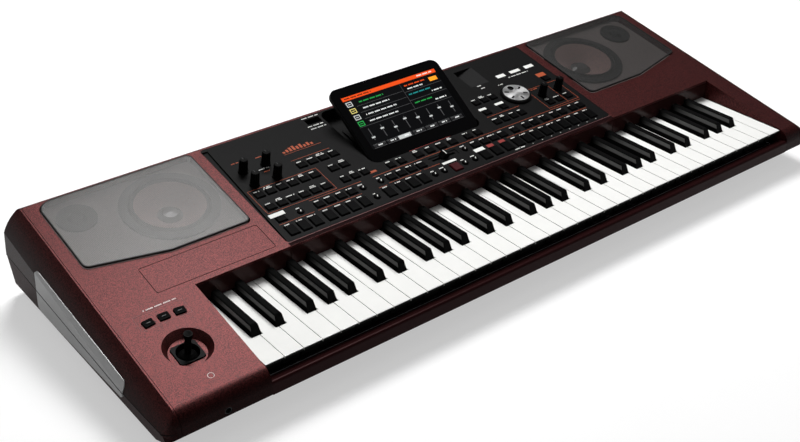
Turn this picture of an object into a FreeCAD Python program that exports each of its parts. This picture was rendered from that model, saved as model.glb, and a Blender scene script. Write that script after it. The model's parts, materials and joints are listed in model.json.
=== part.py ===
import FreeCAD, Part
import math
import os

# Arranger keyboard. Millimetres, +X to the player's right, +Y to the back, +Z up.
# The origin is on the surface that the feet stand on, under the middle of the case.

# Overall sizes
left_block_width = 125.0
right_arm_width = 51.0
key_top_height = 60.7
foot_height = 8.7
front_overhang = 14.0
rear_rim = 5.07
rear_run = 28.8
slope_angle = 11.16
overrun = 20.0
running_gap = 0.4
seam_gap = 0.5

# Case mouldings
wall = 3.0
cheek_wall = 7.5
top_tuck = 19.1
top_rise = 0.55
shoulder_tuck = 4.7
shoulder_drop = 18.0
widest_drop = 58.5
nose_radius = 17.0
plan_front_radius = 20.0
plan_rear_radius = 10.0
edge_radius = 4.0
rear_edge_radius = 3.0
heel_radius = 1.5
front_face_drop = 28.8
underside_setback = 45.0
underside_radius = 10.0
bilge_tuck = 7.5
bilge_rise = 7.0
floor_tuck = 20.0
flare_rise = 7.7
seam_front_run = 10.0
seam_drop = 21.0
seam_angle = 4.1
cheek_tuck = 21.4

# Keys
white_key_count = 36
white_key_pitch = 23.5
key_gap = 1.0
key_visible_length = 133.8
key_plate = 3.2
key_depth = 14.0
key_lip = 6.0
key_round = 1.0
key_skirt_inset = 0.8
key_skirt_wall = 2.0
key_relief = 2.5
key_tail_run = 16.0
key_lever_width = 8.0
pivot_setback = 52.2
pivot_drop = 8.0
pivot_end = 6.0
rod_radius = 2.0
rod_end = 4.0
black_setback = 47.5
black_rear_gap = 1.8
black_height = 11.8
black_base_width = 11.8
black_top_width = 8.8
black_front_lean = 5.0
black_rear_lean = 1.0
black_root = 1.0
black_bevel = 1.1
black_slot_gap = 1.1
black_offset_shares = {"c_sharp": -0.136, "d_sharp": 0.136, "f_sharp": -0.162, "g_sharp": 0, "a_sharp": 0.162}
white_names = ("c", "d", "e", "f", "g", "a", "b")
white_drop_angle = 3.1
black_drop_angle = 3.3

# Key frame, a formed sheet with two felted stop rails and a row of fins for the pivot rod
frame_sheet = 2.0
felt_thickness = 1.5
stop_clearance = 0.4
front_rail_start = 12.0
front_rail_end = 38.0
black_rail_start = 60.0
black_rail_end = 76.0
riser_setback = 16.0
riser_height = 26.0
fin_thickness = 2.0
fin_root_run = 36.0
fin_head = 4.5
felt_inset = 2.0

# Keyslip and fallboard
slip_height = 16.5
slip_nose_radius = 3.0
slip_fall = 2.4
slip_depth = 12.4
fallboard_thickness = 3.0
fallboard_lift = 2.0
fallboard_groove = 0.8
well_gap = 1.0

# Control panel
grid_pitch = 16.8
panel_columns = 31.5
panel_setback = 6.6
front_rows_depth = 73.0
panel_thickness = 3.0
panel_radius = 5.0
panel_ledge = 4.0
panel_rim = 3.0
ledge_thickness = 2.5
channel_rear_width = 8.4
channel_front_width = 1.2
channel_depth = 2.0
scoop_left_share = 0.7525
scoop_width = 32.4
scoop_front_share = 0.735
scoop_length = 40.0
scoop_depth = 9.0
scoop_wall = 2.0
port_width = 22.0
port_depth = 11.0
port_recess = 8.0
port_share = (0.302, 0.934)
port_wall = 1.5

# Buttons. Rows give the first button as a share of the panel's width, the row as a share of the
# front rows' depth, then the count, the pitch as a share of the grid, and the kind of button.
button_rise = 2.0
button_skirt = 5.0
button_bevel = 0.8
button_gap = 0.5
button_web = 4.0
small_web = 3.3
wide_depth = 17.0
small_depth = 9.8
start_size = (13.2, 14.5)
close_share = 0.943
short_share = 0.887
set_share = 1.125
pair_share = 1.786
bottom_share = 0.212
second_share = 0.518
middle_share = 0.785
box_low_share = 0.844
box_high_share = 1.185
right_low_share = 0.867
top_share = 1.514
button_row_shares = {
    "buttons_style": (
        (0.0319, bottom_share, 3, 1, "wide"),
        (0.1329, bottom_share, 4, 1, "wide"),
        (0.0321, second_share, 1, 1, "small"),
        (0.1335, second_share, 4, close_share, "small"),
    ),
    "buttons_accompaniment": (
        (0.0340, box_low_share, 6, close_share, "small"),
        (0.0346, box_high_share, 6, close_share, "small"),
    ),
    "buttons_mode": (
        (0.2367, box_low_share, 3, short_share, "narrow"),
        (0.2372, box_high_share, 2, close_share, "small"),
        (0.1790, top_share, 4, close_share, "small"),
    ),
    "buttons_player": (
        (0.2998, bottom_share, 1, 1, "wide"),
        (0.3372, bottom_share, 3, 1, "wide"),
        (0.3365, second_share, 4, close_share, "small"),
        (0.3631, middle_share, 2, 1, "narrow"),
        (0.4461, middle_share, 4, set_share, "small"),
        (0.6030, middle_share, 2, 1, "narrow"),
    ),
    "buttons_sets": (
        (0.5926, bottom_share, 3, set_share, "wide"),
        (0.7002, bottom_share, 9, 1, "wide"),
    ),
    "buttons_sound": (
        (0.5964, second_share, 4, close_share, "small"),
        (0.7274, second_share, 1, 1, "narrow"),
        (0.7671, second_share, 2, short_share, "narrow"),
        (0.8302, second_share, 1, 1, "narrow"),
        (0.8659, second_share, 2, short_share, "narrow"),
        (0.9310, second_share, 2, short_share, "narrow"),
        (0.7106, right_low_share, 4, short_share, "narrow"),
        (0.8979, right_low_share, 3, 1, "narrow"),
        (0.7142, box_high_share, 2, pair_share, "narrow"),
        (0.7170, top_share, 3, short_share, "narrow"),
        (0.9641, top_share, 1, 1, "narrow"),
    ),
}
start_button_share = (0.4975, 0.195)
round_button_radius = 4.3
round_button_shares = (
    (0.0828, 0.521), (0.2544, 0.521), (0.3062, 0.521), (0.2639, 0.216), (0.4344, 0.212),
    (0.4628, 0.212), (0.5274, 0.212), (0.5595, 0.212), (0.5624, 0.521),
)

# Knobs, dial and slider
knob_height = 18.7
knob_top_radius = 5.2
knob_base_radius = 6.4
knob_collar = 2.0
knob_lift = 0.5
knob_flutes = 12
knob_flute_depth = 0.7
knob_stem_radius = 3.0
knob_stem_depth = 7.0
knob_shares = {
    "knob_1": (0.0473, 1.834), "knob_2": (0.1078, 1.834), "knob_3": (0.0454, 1.459),
    "knob_4": (0.1059, 1.459), "knob_5": (0.8998, 1.124), "knob_6": (0.9594, 1.143),
}
dial_share = (0.8365, 1.371)
dial_radius = 22.3
dial_height = 3.4
dial_face_radius = 18.8
dial_face_step = 0.6
dial_rim_radius = 1.2
dimple_reach_share = 0.62
dimple_radius = 4.6
dimple_depth = 1.6
dial_stem_radius = 4.0
slider_share = (0.4979, 0.542)
slider_slot_length = 45.0
slider_slot_width = 3.6
slider_well_depth = 1.2
slider_well_width = 10.0
slider_cap = (12.4, 9.0)
slider_cap_height = 7.0
slider_ridge = 2.2
slider_stem = (6.0, 2.6)
slider_stem_depth = 8.0
slider_travel = 15.0

# Tilting display
display_width = 178.0
display_height = 117.0
display_thickness = 13.0
display_margin = 4.0
display_sink = 0.5
display_corner = 12.0
display_back_inset = 4.0
display_rim = 4.8
display_glass = 1.2
display_glass_inset = 0.8
hinge_rise = 6.0
hinge_sink = 8.5
hinge_radius = 2.5
hinge_pin_reach = 3.4
display_tilt = 22.4
pocket_side_gap = 1.4
pocket_front_gap = 4.6
pocket_rear_gap = 1.6
pocket_depth = 17.0
pocket_wall = 4.0
pocket_floor = 2.0
pocket_rib_height = 2.0
pocket_rib_width = 14.0
pocket_rib_shares = (-0.36, 0.36)

# Speakers
grille_margin = 35.4
grille_panel_gap = 13.6
grille_setback = 50.5
grille_slant_share = 0.52
grille_slant_rise = 20.0
grille_radius = 8.0
grille_outer_radius = 17.0
grille_rise = 2.4
grille_sheet = 1.2
grille_gap = 1.2
baffle_depth = 9.0
baffle_thickness = 3.0
woofer_inset = 62.9
woofer_setback = 65.0
woofer_radius = 59.0
woofer_throat_radius = 50.0
woofer_cone_radius = 42.0
woofer_flange = 3.0
woofer_depth = 44.0
magnet_radius = 32.0
magnet_height = 18.0
basket_sheet = 1.5
cone_sheet = 1.0
cone_depth = 16.0
cone_seat = 0.3
cap_radius = 15.0
cap_rise = 5.0
cap_bend_share = 0.6
surround_rise = 3.0
tweeter_inset = 34.6
tweeter_setback = 34.0
tweeter_radius = 23.0
tweeter_flange = 2.5
tweeter_dome_radius = 11.0
tweeter_dome_rise = 4.0
tweeter_bend_shares = (0.7, 0.6)
tweeter_body_radius = 17.0
tweeter_body_depth = 20.0

# Left block: name recess, three switches, joystick and headphone socket
plate_inset = 84.0
plate_setback = 1.0
plate_gap = 6.3
plate_radius = 3.0
groove_width = 0.8
groove_depth = 0.7
switch_run = 110.6
switch_pitch = 18.3
switch_size = (12.2, 9.3)
switch_fan = 5.5
switch_bow = 0.9
switch_corner = 1.2
switch_rise = 1.6
switch_skirt = 5.0
stick_inset = 73.3
stick_run = 61.4
cup_radius = 26.6
cup_floor_radius = 20.3
cup_depth = 9.5
cup_wall = 2.5
boot_size = (29.0, 27.0)
boot_radius = 4.0
boot_rise = 1.5
boot_wall = 2.0
boot_opening_radius = 12.6
gimbal_sink = 20.0
gimbal_box_depth = 36.0
gimbal_outer_radius = 9.6
gimbal_inner_radius = 7.2
gimbal_half_height = 2.4
trunnion_radius = 1.4
dome_radius = 12.0
dome_sheet = 1.4
dome_bend_shares = (0.35, 0.55, 0.75, 0.9)
stick_hub_radius = 4.6
stick_radius = 3.6
stick_tip_radius = 4.6
stick_top = 18.7
stick_tip_height = 4.0
stick_dish_depth = 0.8
phones_drop = 22.1
phones_hole_radius = 4.2
phones_bore_radius = 3.25
phones_length = 16.0
phones_collar_radius = 4.6
phones_collar = 4.0

# Back panel with its sockets, mains inlet and power rocker
rear_opening = (620.0, 34.0)
rear_opening_center = (-40.0, 29.0)
rear_plate = 2.0
rear_plate_margin = 6.0
jack_radius = 5.4
socket_shoulder = 1.2
seat_gap = 0.1
jack_bore_radius = 3.25
jack_nose = 2.2
jack_depth = 14.0
jack_shares = (-0.45, -0.40, -0.34, -0.29, -0.23, -0.18)
din_radius = 8.2
din_bore_radius = 6.8
din_depth = 12.0
din_shares = (-0.08, 0.0)
usb_size = (12.0, 11.0)
usb_opening = (8.6, 7.6)
usb_depth = 14.0
usb_shares = (0.13, 0.18)
inlet_share = 0.44
inlet_size = (30.0, 24.0)
inlet_mouth = (24.0, 17.0)
inlet_depth = 22.0
inlet_mouth_depth = 16.0
inlet_pin = (2.0, 4.0)
inlet_pin_pitch = 7.0
inlet_pin_shares = (-1.0, 0.0, 1.0)
rocker_share = 0.36
rocker_size = (11.0, 19.0)
rocker_rise = 3.0
rocker_lean = 7.0
rocker_depth = 8.0
rocker_bore_radius = 1.5
rocker_gap = 0.8

# Side trims, feet, boards
trim_start = 64.0
trim_length = 210.0
trim_drop = 29.0
trim_height = 59.0
trim_outline_shares = ((1.0, 0.0), (0.952, 1.0), (0.0, 0.44), (0.019, 0.085))
trim_radius = 8.0
trim_depth = 5.0
trim_proud = 0.8
trim_gap = 0.3
foot_radius = 10.0
foot_top_radius = 12.0
foot_seat = 1.0
foot_center_share = 0.86
foot_row_shares = (-0.296, 0.365)
vent_count = 9
vent_size = (60.0, 4.0)
vent_pitch = 11.0
vent_center = (250.0, 60.0)
board_thickness = 1.6
board_drop = 13.0
board_margin = 8.0
post_radius = 3.0
post_setback = 27.6
main_board_size = (230.0, 110.0)
main_board_center = (60.0, 100.0)
boss_radius = 4.0
boss_height = 7.0

# Places worked out from the sizes above
front_face_bottom = key_top_height - front_face_drop
seam_front_height = key_top_height - seam_drop
flare_height = key_top_height + flare_rise
bilge_height = foot_height + bilge_rise
phones_height = key_top_height - phones_drop
trim_low = key_top_height - trim_drop
octave_whites = len(white_names)
keyboard_width = white_key_count * white_key_pitch
case_width = left_block_width + well_gap + keyboard_width + well_gap + right_arm_width
half_width = case_width / 2
slope = math.tan(math.radians(slope_angle))
slope_cosine = math.cos(math.radians(slope_angle))
panel_width = grid_pitch * panel_columns
panel_depth = front_rows_depth + display_height + display_margin
panel_front = key_visible_length / slope_cosine + panel_setback
panel_rear = panel_front + panel_depth
top_face_depth = (panel_rear + rear_rim) * slope_cosine
case_depth = front_overhang + top_face_depth + rear_run
front_y = -case_depth / 2
rear_y = case_depth / 2
key_front_y = front_y + front_overhang
slope_start_z = key_top_height + top_rise
rear_top_y = key_front_y + top_face_depth
rear_top_z = slope_start_z + top_face_depth * slope
rear_lean = math.degrees(math.atan2(rear_run, rear_top_z - foot_height))
cheek_line = half_width - cheek_tuck
floor_width = case_width - 2 * floor_tuck
trim_seat = half_width - trim_depth
key_left = -half_width + left_block_width + well_gap
well_left = key_left - well_gap
well_right = key_left + keyboard_width + well_gap
fallboard_y = key_front_y + key_visible_length
floor_top = foot_height + wall
pivot_reach = key_visible_length + pivot_setback
pivot_y = key_front_y + pivot_reach
pivot_z = key_top_height - pivot_drop
black_length = key_visible_length - black_setback - black_rear_gap
close_pitch = grid_pitch * close_share
short_pitch = grid_pitch * short_share
button_sizes = {
    "wide": (grid_pitch - button_web, wide_depth),
    "small": (close_pitch - small_web, small_depth),
    "narrow": (short_pitch - button_web, small_depth),
}
display_front = panel_front + front_rows_depth
grille_inner = panel_width / 2 + grille_panel_gap
grille_outer = half_width - grille_margin
grille_front = panel_front + grille_setback
woofer_center = (grille_inner + woofer_inset, panel_rear - woofer_setback)
tweeter_center = (grille_outer - tweeter_inset, panel_rear - tweeter_setback)
stick_center = (-half_width + stick_inset, stick_run)


def at(x, y, z):
    return FreeCAD.Vector(x, y, z)


def outline(points):
    """Closed flat wire through corners (x, y, corner radius)."""
    corners = [at(x, y, 0) for x, y, radius in points]
    stretches = []
    for index, (x, y, radius) in enumerate(points):
        corner = corners[index]
        before = (corners[index - 1] - corner).normalize()
        after = (corners[(index + 1) % len(corners)] - corner).normalize()
        half = before.getAngle(after) / 2
        reach = radius / math.tan(half)
        inward = (before + after).normalize() if radius else at(0, 0, 0)
        middle = corner + inward * (radius / math.sin(half) - radius)
        stretches.append((corner + before * reach, middle, corner + after * reach, radius))
    edges = []
    for index, (start, middle, end, radius) in enumerate(stretches):
        if radius:
            edges.append(Part.Arc(start, middle, end).toShape())
        edges.append(Part.makeLine(end, stretches[(index + 1) % len(stretches)][0]))
    return Part.Wire(edges)


def rectangle(center, size, radius):
    """Corners of an upright rectangle for outline."""
    half_x = size[0] / 2
    half_y = size[1] / 2
    signs = ((-1, -1), (1, -1), (1, 1), (-1, 1))
    return [(center[0] + half_x * sx, center[1] + half_y * sy, radius) for sx, sy in signs]


def slab(points, low, high):
    """Flat plate of an outline between two heights."""
    face = Part.Face(outline(points))
    face.translate(at(0, 0, low))
    return face.extrude(at(0, 0, high - low))


def side_prism(face, left, right):
    """A face drawn as (y, z), drawn out along X."""
    turned = face.copy()
    turned.rotate(at(0, 0, 0), at(1, 1, 1), 120)
    turned.translate(at(left, 0, 0))
    return turned.extrude(at(right - left, 0, 0))


def turned(points):
    """Solid of revolution about Z from straight (radius, height) points."""
    corners = [at(radius, 0, height) for radius, height in points]
    face = Part.Face(Part.makePolygon(corners + corners[:1]))
    return face.revolve(at(0, 0, 0), at(0, 0, 1), 360)


def disc(center, radius, low, high):
    return Part.makeCylinder(radius, high - low, at(center[0], center[1], low))


def rod_x(center_y, center_z, radius, left, right):
    return Part.makeCylinder(radius, right - left, at(left, center_y, center_z), at(1, 0, 0))


def block(x_range, y_range, z_range):
    size = [high - low for low, high in (x_range, y_range, z_range)]
    return Part.makeBox(*size, at(x_range[0], y_range[0], z_range[0]))


def moved(shape, x, y, z):
    copy = shape.copy()
    copy.translate(at(x, y, z))
    return copy


def mirrored(shape):
    return shape.mirror(at(0, 0, 0), at(1, 0, 0))


def on_slope(shape):
    """From flat panel places (x, run up the slope, height) to the sloped top face."""
    placed = shape.copy()
    placed.rotate(at(0, 0, 0), at(1, 0, 0), slope_angle)
    placed.translate(at(0, key_front_y, slope_start_z))
    return placed


def on_rear(shape):
    """From flat places (x, run up the back wall, depth inwards) to the leaning back wall."""
    placed = shape.copy()
    placed.rotate(at(0, 0, 0), at(1, 0, 0), 90 + rear_lean)
    placed.translate(at(0, rear_y, foot_height))
    return placed


def on_panel(share):
    """Place on the panel from shares of its width and of its front rows' depth."""
    return (panel_width * (share[0] - 0.5), panel_front + front_rows_depth * share[1])


# Case: one outer form from three outlines, parted along a sloping seam and two end lines
def side_face(inset):
    top_front = slope_start_z - front_overhang * slope
    points = (
        (front_y, front_face_bottom, edge_radius),
        (front_y + underside_setback, foot_height, underside_radius),
        (rear_y, foot_height, heel_radius),
        (rear_top_y, rear_top_z, rear_edge_radius),
        (front_y, top_front, nose_radius),
    )
    face = Part.Face(outline(points))
    return face.makeOffset2D(-inset) if inset else face


def plan_form(inset):
    signs = ((-1, front_y, plan_front_radius), (1, front_y, plan_front_radius))
    signs += ((1, rear_y, plan_rear_radius), (-1, rear_y, plan_rear_radius))
    face = Part.Face(outline([(sign * half_width, y, radius) for sign, y, radius in signs]))
    face = face.makeOffset2D(-inset) if inset else face
    return face.extrude(at(0, 0, rear_top_z + overrun))


def upper_form(side_inset, top_inset):
    """Bulging cross-section drawn out along the slope."""
    start_y = front_y - overrun
    top_z = slope_start_z + (start_y - key_front_y) * slope - top_inset
    top = half_width - top_tuck - side_inset
    shoulder = half_width - shoulder_tuck - side_inset
    widest = half_width - side_inset

    def side(sign):
        points = ((top, 0), (shoulder, -shoulder_drop), (widest, -widest_drop), (widest, -rear_top_z))
        return [at(sign * x, start_y, top_z + z) for x, z in points]

    right = side(1)
    left = side(-1)
    edges = [
        Part.makeLine(left[0], right[0]),
        Part.Arc(*right[:3]).toShape(),
        Part.makeLine(right[2], right[3]),
        Part.makeLine(right[3], left[3]),
        Part.makeLine(left[3], left[2]),
        Part.Arc(left[2], left[1], left[0]).toShape(),
    ]
    run = case_depth + overrun * 2
    return Part.Face(Part.Wire(edges)).extrude(at(0, run, run * slope))


def lower_form(side_inset, floor_inset):
    """Flared cross-section drawn out along Y."""
    low = foot_height + floor_inset
    bilge = half_width - bilge_tuck
    points = ((floor_width / 2, low), (bilge, bilge_height + floor_inset), (half_width, flare_height))
    points += ((half_width, rear_top_z),)
    right = [at(x - side_inset, front_y - overrun, z) for x, z in points]
    left = [at(-corner.x, corner.y, corner.z) for corner in reversed(right)]
    face = Part.Face(Part.makePolygon(right + left + right[:1]))
    return face.extrude(at(0, case_depth + overrun * 2, 0))


def below_seam(lift):
    """Everything under the seam, which climbs to the back, moved up by lift."""
    seam_y = front_y + seam_front_run
    rise = math.tan(math.radians(seam_angle))
    points = (
        (front_y - overrun, -overrun, 0),
        (rear_y + overrun, -overrun, 0),
        (rear_y + overrun, seam_front_height + (rear_y + overrun - seam_y) * rise + lift, 0),
        (seam_y, seam_front_height + lift, 0),
        (front_y, front_face_bottom + lift, 0),
        (front_y - overrun, front_face_bottom + lift, 0),
    )
    return side_prism(Part.Face(outline(points)), -case_width, case_width)


def case_solid(form, inset):
    side = side_prism(side_face(inset), -case_width, case_width)
    return form.common(side).common(plan_form(inset))


def trim_face(gap):
    start_y = key_front_y + trim_start
    shares = trim_outline_shares
    corners = [(start_y + trim_length * y, trim_low + trim_height * z, trim_radius) for y, z in shares]
    face = Part.Face(outline(corners))
    return face.makeOffset2D(-gap) if gap else face


def trim_pockets():
    pocket = side_prism(trim_face(0), trim_seat, case_width)
    return pocket.fuse(mirrored(pocket))


upper_outer = case_solid(upper_form(0, 0), 0)
upper_cavity = case_solid(upper_form(cheek_wall, wall), wall)
upper_half = upper_outer.cut(below_seam(0))


def end_cheek(sign):
    """Bulging end moulding, open towards the middle."""
    edges = sorted((sign * (cheek_line + seam_gap), sign * case_width))
    keep = block(edges, (-case_depth, case_depth), (-overrun, rear_top_z + overrun))
    return upper_half.common(keep).cut(upper_cavity).cut(trim_pockets())


def bottom_case():
    """Tray with a rising front underside, foot seats, vents, board bosses and the back opening."""
    outer = case_solid(lower_form(0, 0), 0).common(below_seam(-seam_gap))
    tray = outer.cut(case_solid(lower_form(cheek_wall, wall), wall))
    tray = tray.cut(trim_pockets())
    opening = slab(rectangle(rear_opening_center, rear_opening, edge_radius), -overrun, wall + overrun)
    tray = tray.cut(on_rear(opening))
    for x, y in foot_places():
        tray = tray.cut(disc((x, y), foot_top_radius, 0, foot_height + foot_seat))
    for side in (-1, 1):
        for index in range(vent_count):
            run = (index - (vent_count - 1) / 2) * vent_pitch
            slot = rectangle((side * vent_center[0], vent_center[1] + run), vent_size, 0)
            tray = tray.cut(slab(slot, 0, floor_top + overrun))
    for x, y, radius in rectangle(main_board_center, main_board_size, 0):
        reach = boss_radius if x < main_board_center[0] else -boss_radius
        lift = boss_radius if y < main_board_center[1] else -boss_radius
        boss = disc((x + reach, y + lift), boss_radius, foot_height + foot_seat, floor_top + boss_height)
        tray = tray.fuse(boss)
    return tray


def foot_places():
    reach = floor_width / 2 * foot_center_share
    return [(x, case_depth * share) for x in (-reach, reach) for share in foot_row_shares]


def rubber_feet():
    top = foot_height + foot_seat
    profile = ((0, 0), (foot_radius, 0), (foot_top_radius - running_gap, top), (0, top))
    return [moved(turned(profile), x, y, 0) for x, y in foot_places()]


def side_trims():
    """Tapered wedges let into both ends, standing a little proud."""
    skin = case_solid(upper_form(-trim_proud, 0), 0)
    wedge = side_prism(trim_face(trim_gap), trim_seat, case_width).common(skin)
    return [wedge, mirrored(wedge)]


def grille_points(inset):
    """Outline of the right speaker opening, with the outer front corner cut back."""
    slant_x = grille_inner + (grille_outer - grille_inner) * grille_slant_share
    return [
        (grille_inner + inset, grille_front + inset, grille_radius),
        (slant_x, grille_front + inset, grille_radius),
        (grille_outer - inset, grille_front + grille_slant_rise + inset, grille_radius),
        (grille_outer - inset, panel_rear - inset, grille_outer_radius),
        (grille_inner + inset, panel_rear - inset, grille_radius),
    ]


def speaker_well():
    """Box under the right grille, with a baffle holed for woofer and tweeter."""
    bottom = -baffle_depth - baffle_thickness
    well = slab(grille_points(-wall), bottom, -wall / 2)
    well = well.cut(slab(grille_points(0), -baffle_depth, overrun))
    well = well.cut(disc(woofer_center, woofer_throat_radius + running_gap, bottom - overrun, 0))
    return well.cut(disc(tweeter_center, tweeter_body_radius + running_gap, bottom - overrun, 0))


def joystick_cup():
    """Conical finger cup with a floor holed for the boot."""
    outer = cup_radius + cup_wall
    floor_outer = cup_floor_radius + cup_wall
    low = -cup_depth - cup_wall
    cup = turned(((0, low), (floor_outer, low), (outer, -wall / 2), (0, -wall / 2)))
    return moved(cup, stick_center[0], stick_center[1], 0)


def joystick_cup_hollow():
    side = ((cup_floor_radius, -cup_depth), (cup_radius, 0), (cup_radius, overrun))
    cone = turned(((0, -cup_depth), *side, (0, overrun)))
    cone = moved(cone, stick_center[0], stick_center[1], 0)
    hole_size = [length + 2 * running_gap for length in boot_size]
    hole = slab(rectangle(stick_center, hole_size, boot_radius), -cup_depth - overrun, 0)
    return cone.fuse(hole)


def switch_form(index, grow, low, high):
    """One of the three fanned switches, from -1 on the left to 1 on the right."""
    size = [length + 2 * grow for length in switch_size]
    form = slab(rectangle((0, 0), size, switch_corner), low, high)
    form.rotate(at(0, 0, 0), at(0, 0, 1), -switch_fan * index)
    return moved(form, stick_center[0] + index * switch_pitch, switch_run - switch_bow * abs(index), 0)


def name_groove():
    """Thin groove round the bare plate in front of the left speaker."""
    plate_left = half_width - plate_inset
    plate_front = panel_front + plate_setback
    plate_rear = grille_front - plate_gap
    center = (-(plate_left + grille_inner) / 2, (plate_front + plate_rear) / 2)
    size = (plate_left - grille_inner, plate_rear - plate_front)
    inner = [length - 2 * groove_width for length in size]
    groove = slab(rectangle(center, size, plate_radius), -groove_depth, overrun)
    return groove.cut(slab(rectangle(center, inner, plate_radius - groove_width), -groove_depth, overrun))


def panel_opening(grow, low, high):
    size = (panel_width + 2 * grow, panel_depth + 2 * grow)
    return slab(rectangle((0, panel_front + panel_depth / 2), size, panel_radius), low, high)


def top_cover():
    """Top moulding: sloped face, key well, speaker wells, panel ledge and joystick cup."""
    tall = (-overrun, rear_top_z + overrun)
    cover = upper_half.common(block((-cheek_line, cheek_line), (-case_depth, case_depth), tall))
    cover = cover.cut(upper_cavity)
    cover = cover.cut(block((well_left, well_right), (-case_depth, fallboard_y), tall))
    for left in (well_left - wall, well_right):
        cheek = block((left, left + wall), (-case_depth, fallboard_y + fallboard_thickness), tall)
        cover = cover.fuse(upper_half.common(cheek))
    ledge = panel_opening(panel_rim, -panel_thickness - ledge_thickness, -wall / 2)
    cover = cover.fuse(on_slope(ledge))
    right_well = on_slope(speaker_well())
    right_mouth = on_slope(slab(grille_points(0), -baffle_depth, overrun))
    for place in (lambda shape: shape, mirrored):
        cover = cover.fuse(place(right_well)).cut(place(right_mouth))
    cover = cover.fuse(on_slope(joystick_cup())).cut(on_slope(joystick_cup_hollow()))
    cover = cover.cut(on_slope(panel_opening(running_gap / 2, -panel_thickness, overrun)))
    cover = cover.cut(on_slope(panel_opening(-panel_ledge, -overrun, overrun)))
    cover = cover.cut(on_slope(slab(grown_pocket(running_gap), -pocket_depth - overrun, -panel_thickness)))
    cover = cover.cut(on_slope(name_groove()))
    for index in (-1, 0, 1):
        cover = cover.cut(on_slope(switch_form(index, button_gap, -wall - overrun, overrun)))
    cover = cover.cut(phones_form(phones_hole_radius, -overrun, wall + overrun))
    return cover.removeSplitter()


def phones_form(radius, start, end):
    base = at(stick_center[0], front_y + start, phones_height)
    return Part.makeCylinder(radius, end - start, base, at(0, 1, 0))


def phones_socket():
    """Headphone jack sleeve behind the front face."""
    sleeve = phones_form(phones_hole_radius - running_gap / 2, running_gap, wall + phones_length)
    sleeve = sleeve.fuse(phones_form(phones_collar_radius, wall, wall + phones_collar))
    return sleeve.cut(phones_form(phones_bore_radius, -overrun, wall + phones_length - phones_collar / 2))


def fallboard():
    """Upright board behind the keys, grooved where the panel's edges come down."""
    top = slope_start_z + (fallboard_y - key_front_y) * slope - wall - running_gap / 2
    board = block(
        (well_left, well_right),
        (fallboard_y, fallboard_y + fallboard_thickness),
        (key_top_height + fallboard_lift, top),
    )
    for x in (-panel_width / 2, panel_width / 2):
        groove = Part.makeCylinder(fallboard_groove, top, at(x, fallboard_y, 0))
        board = board.cut(groove)
    return board


def keyslip():
    """Front rail under the key lips, falling back to clear the pressed keys."""
    top = front_face_bottom + slip_height
    points = (
        (front_y, front_face_bottom, 0),
        (front_y + slip_depth, front_face_bottom - wall, 0),
        (front_y + slip_depth, top - slip_fall, 0),
        (front_y, top, slip_nose_radius),
    )
    return side_prism(Part.Face(outline(points)), well_left, well_right).cut(below_seam(0))


# Keys: twelve note names and the top C, each as all the keys of that name
def note_count(step):
    return (white_key_count - 1 - step + octave_whites - 1) // octave_whites


def black_step(name):
    """White keys of the octave up to the joint that this black key sits on."""
    return white_names.index(name[0]) + 1


def black_edges(name):
    middle = (black_step(name) + black_offset_shares[name]) * white_key_pitch
    return middle - black_base_width / 2, middle + black_base_width / 2


def tail_edges(name, last):
    """Sides of a white key between its black neighbours, from the key's left end."""
    step = white_names.index(name)
    left = step * white_key_pitch + key_gap / 2
    right = (step + 1) * white_key_pitch - key_gap / 2
    for black in black_offset_shares:
        low, high = black_edges(black)
        if black_step(black) == step:
            left = high + black_slot_gap
        if black_step(black) == step + 1 and not last:
            right = low - black_slot_gap
    return left, right


def lever_to_rod(middle, start):
    """Lever whose underside has a half-round groove that rides on the pivot rod."""
    half = key_lever_width / 2
    run = (start, pivot_reach + pivot_end)
    lever = block((middle - half, middle + half), run, (-pivot_drop, -black_root))
    return lever.cut(rod_x(pivot_reach, -pivot_drop, rod_radius + running_gap, -case_width, case_width))


def white_key(name, last=False):
    """Key with a lip, a relieved block below, a tail between the black keys and a lever to the rod."""
    step = white_names.index(name)
    left = step * white_key_pitch + key_gap / 2
    right = (step + 1) * white_key_pitch - key_gap / 2
    tail_left, tail_right = tail_edges(name, last)
    notch = black_setback - black_slot_gap
    tail_end = key_visible_length + key_tail_run
    corners = [(left, 0), (right, 0), (right, notch), (tail_right, notch), (tail_right, tail_end)]
    corners += [(tail_left, tail_end), (tail_left, notch), (left, notch)]
    corners = [corner for index, corner in enumerate(corners) if corner != corners[index - 1]]
    plate = slab([(x, y, 0) for x, y in straightened(corners)], -key_plate, 0)
    boxes = [(edge, edge.BoundBox) for edge in plate.Edges]
    front_edges = [edge for edge, box in boxes if box.YMax < key_lip and box.ZMin > -key_plate]
    plate = plate.makeFillet(key_round, front_edges)
    inset = key_skirt_inset
    relief = inset + key_skirt_wall
    skirt = block((left + inset, right - inset), (key_lip, notch - inset), (-key_depth, -key_plate))
    hollow = block(
        (left + relief, right - relief),
        (key_lip + key_skirt_wall, notch - relief),
        (-key_depth - overrun, -key_depth + key_relief),
    )
    lever = lever_to_rod((tail_left + tail_right) / 2, notch - relief)
    return plate.fuse(skirt.cut(hollow)).fuse(lever).removeSplitter()


def straightened(corners):
    """Corner list without those that lie on a straight side."""
    kept = []
    for index, corner in enumerate(corners):
        before = corners[index - 1]
        after = corners[(index + 1) % len(corners)]
        in_x = before[0] == corner[0] == after[0]
        in_y = before[1] == corner[1] == after[1]
        if not (in_x or in_y):
            kept.append(corner)
    return kept


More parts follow.
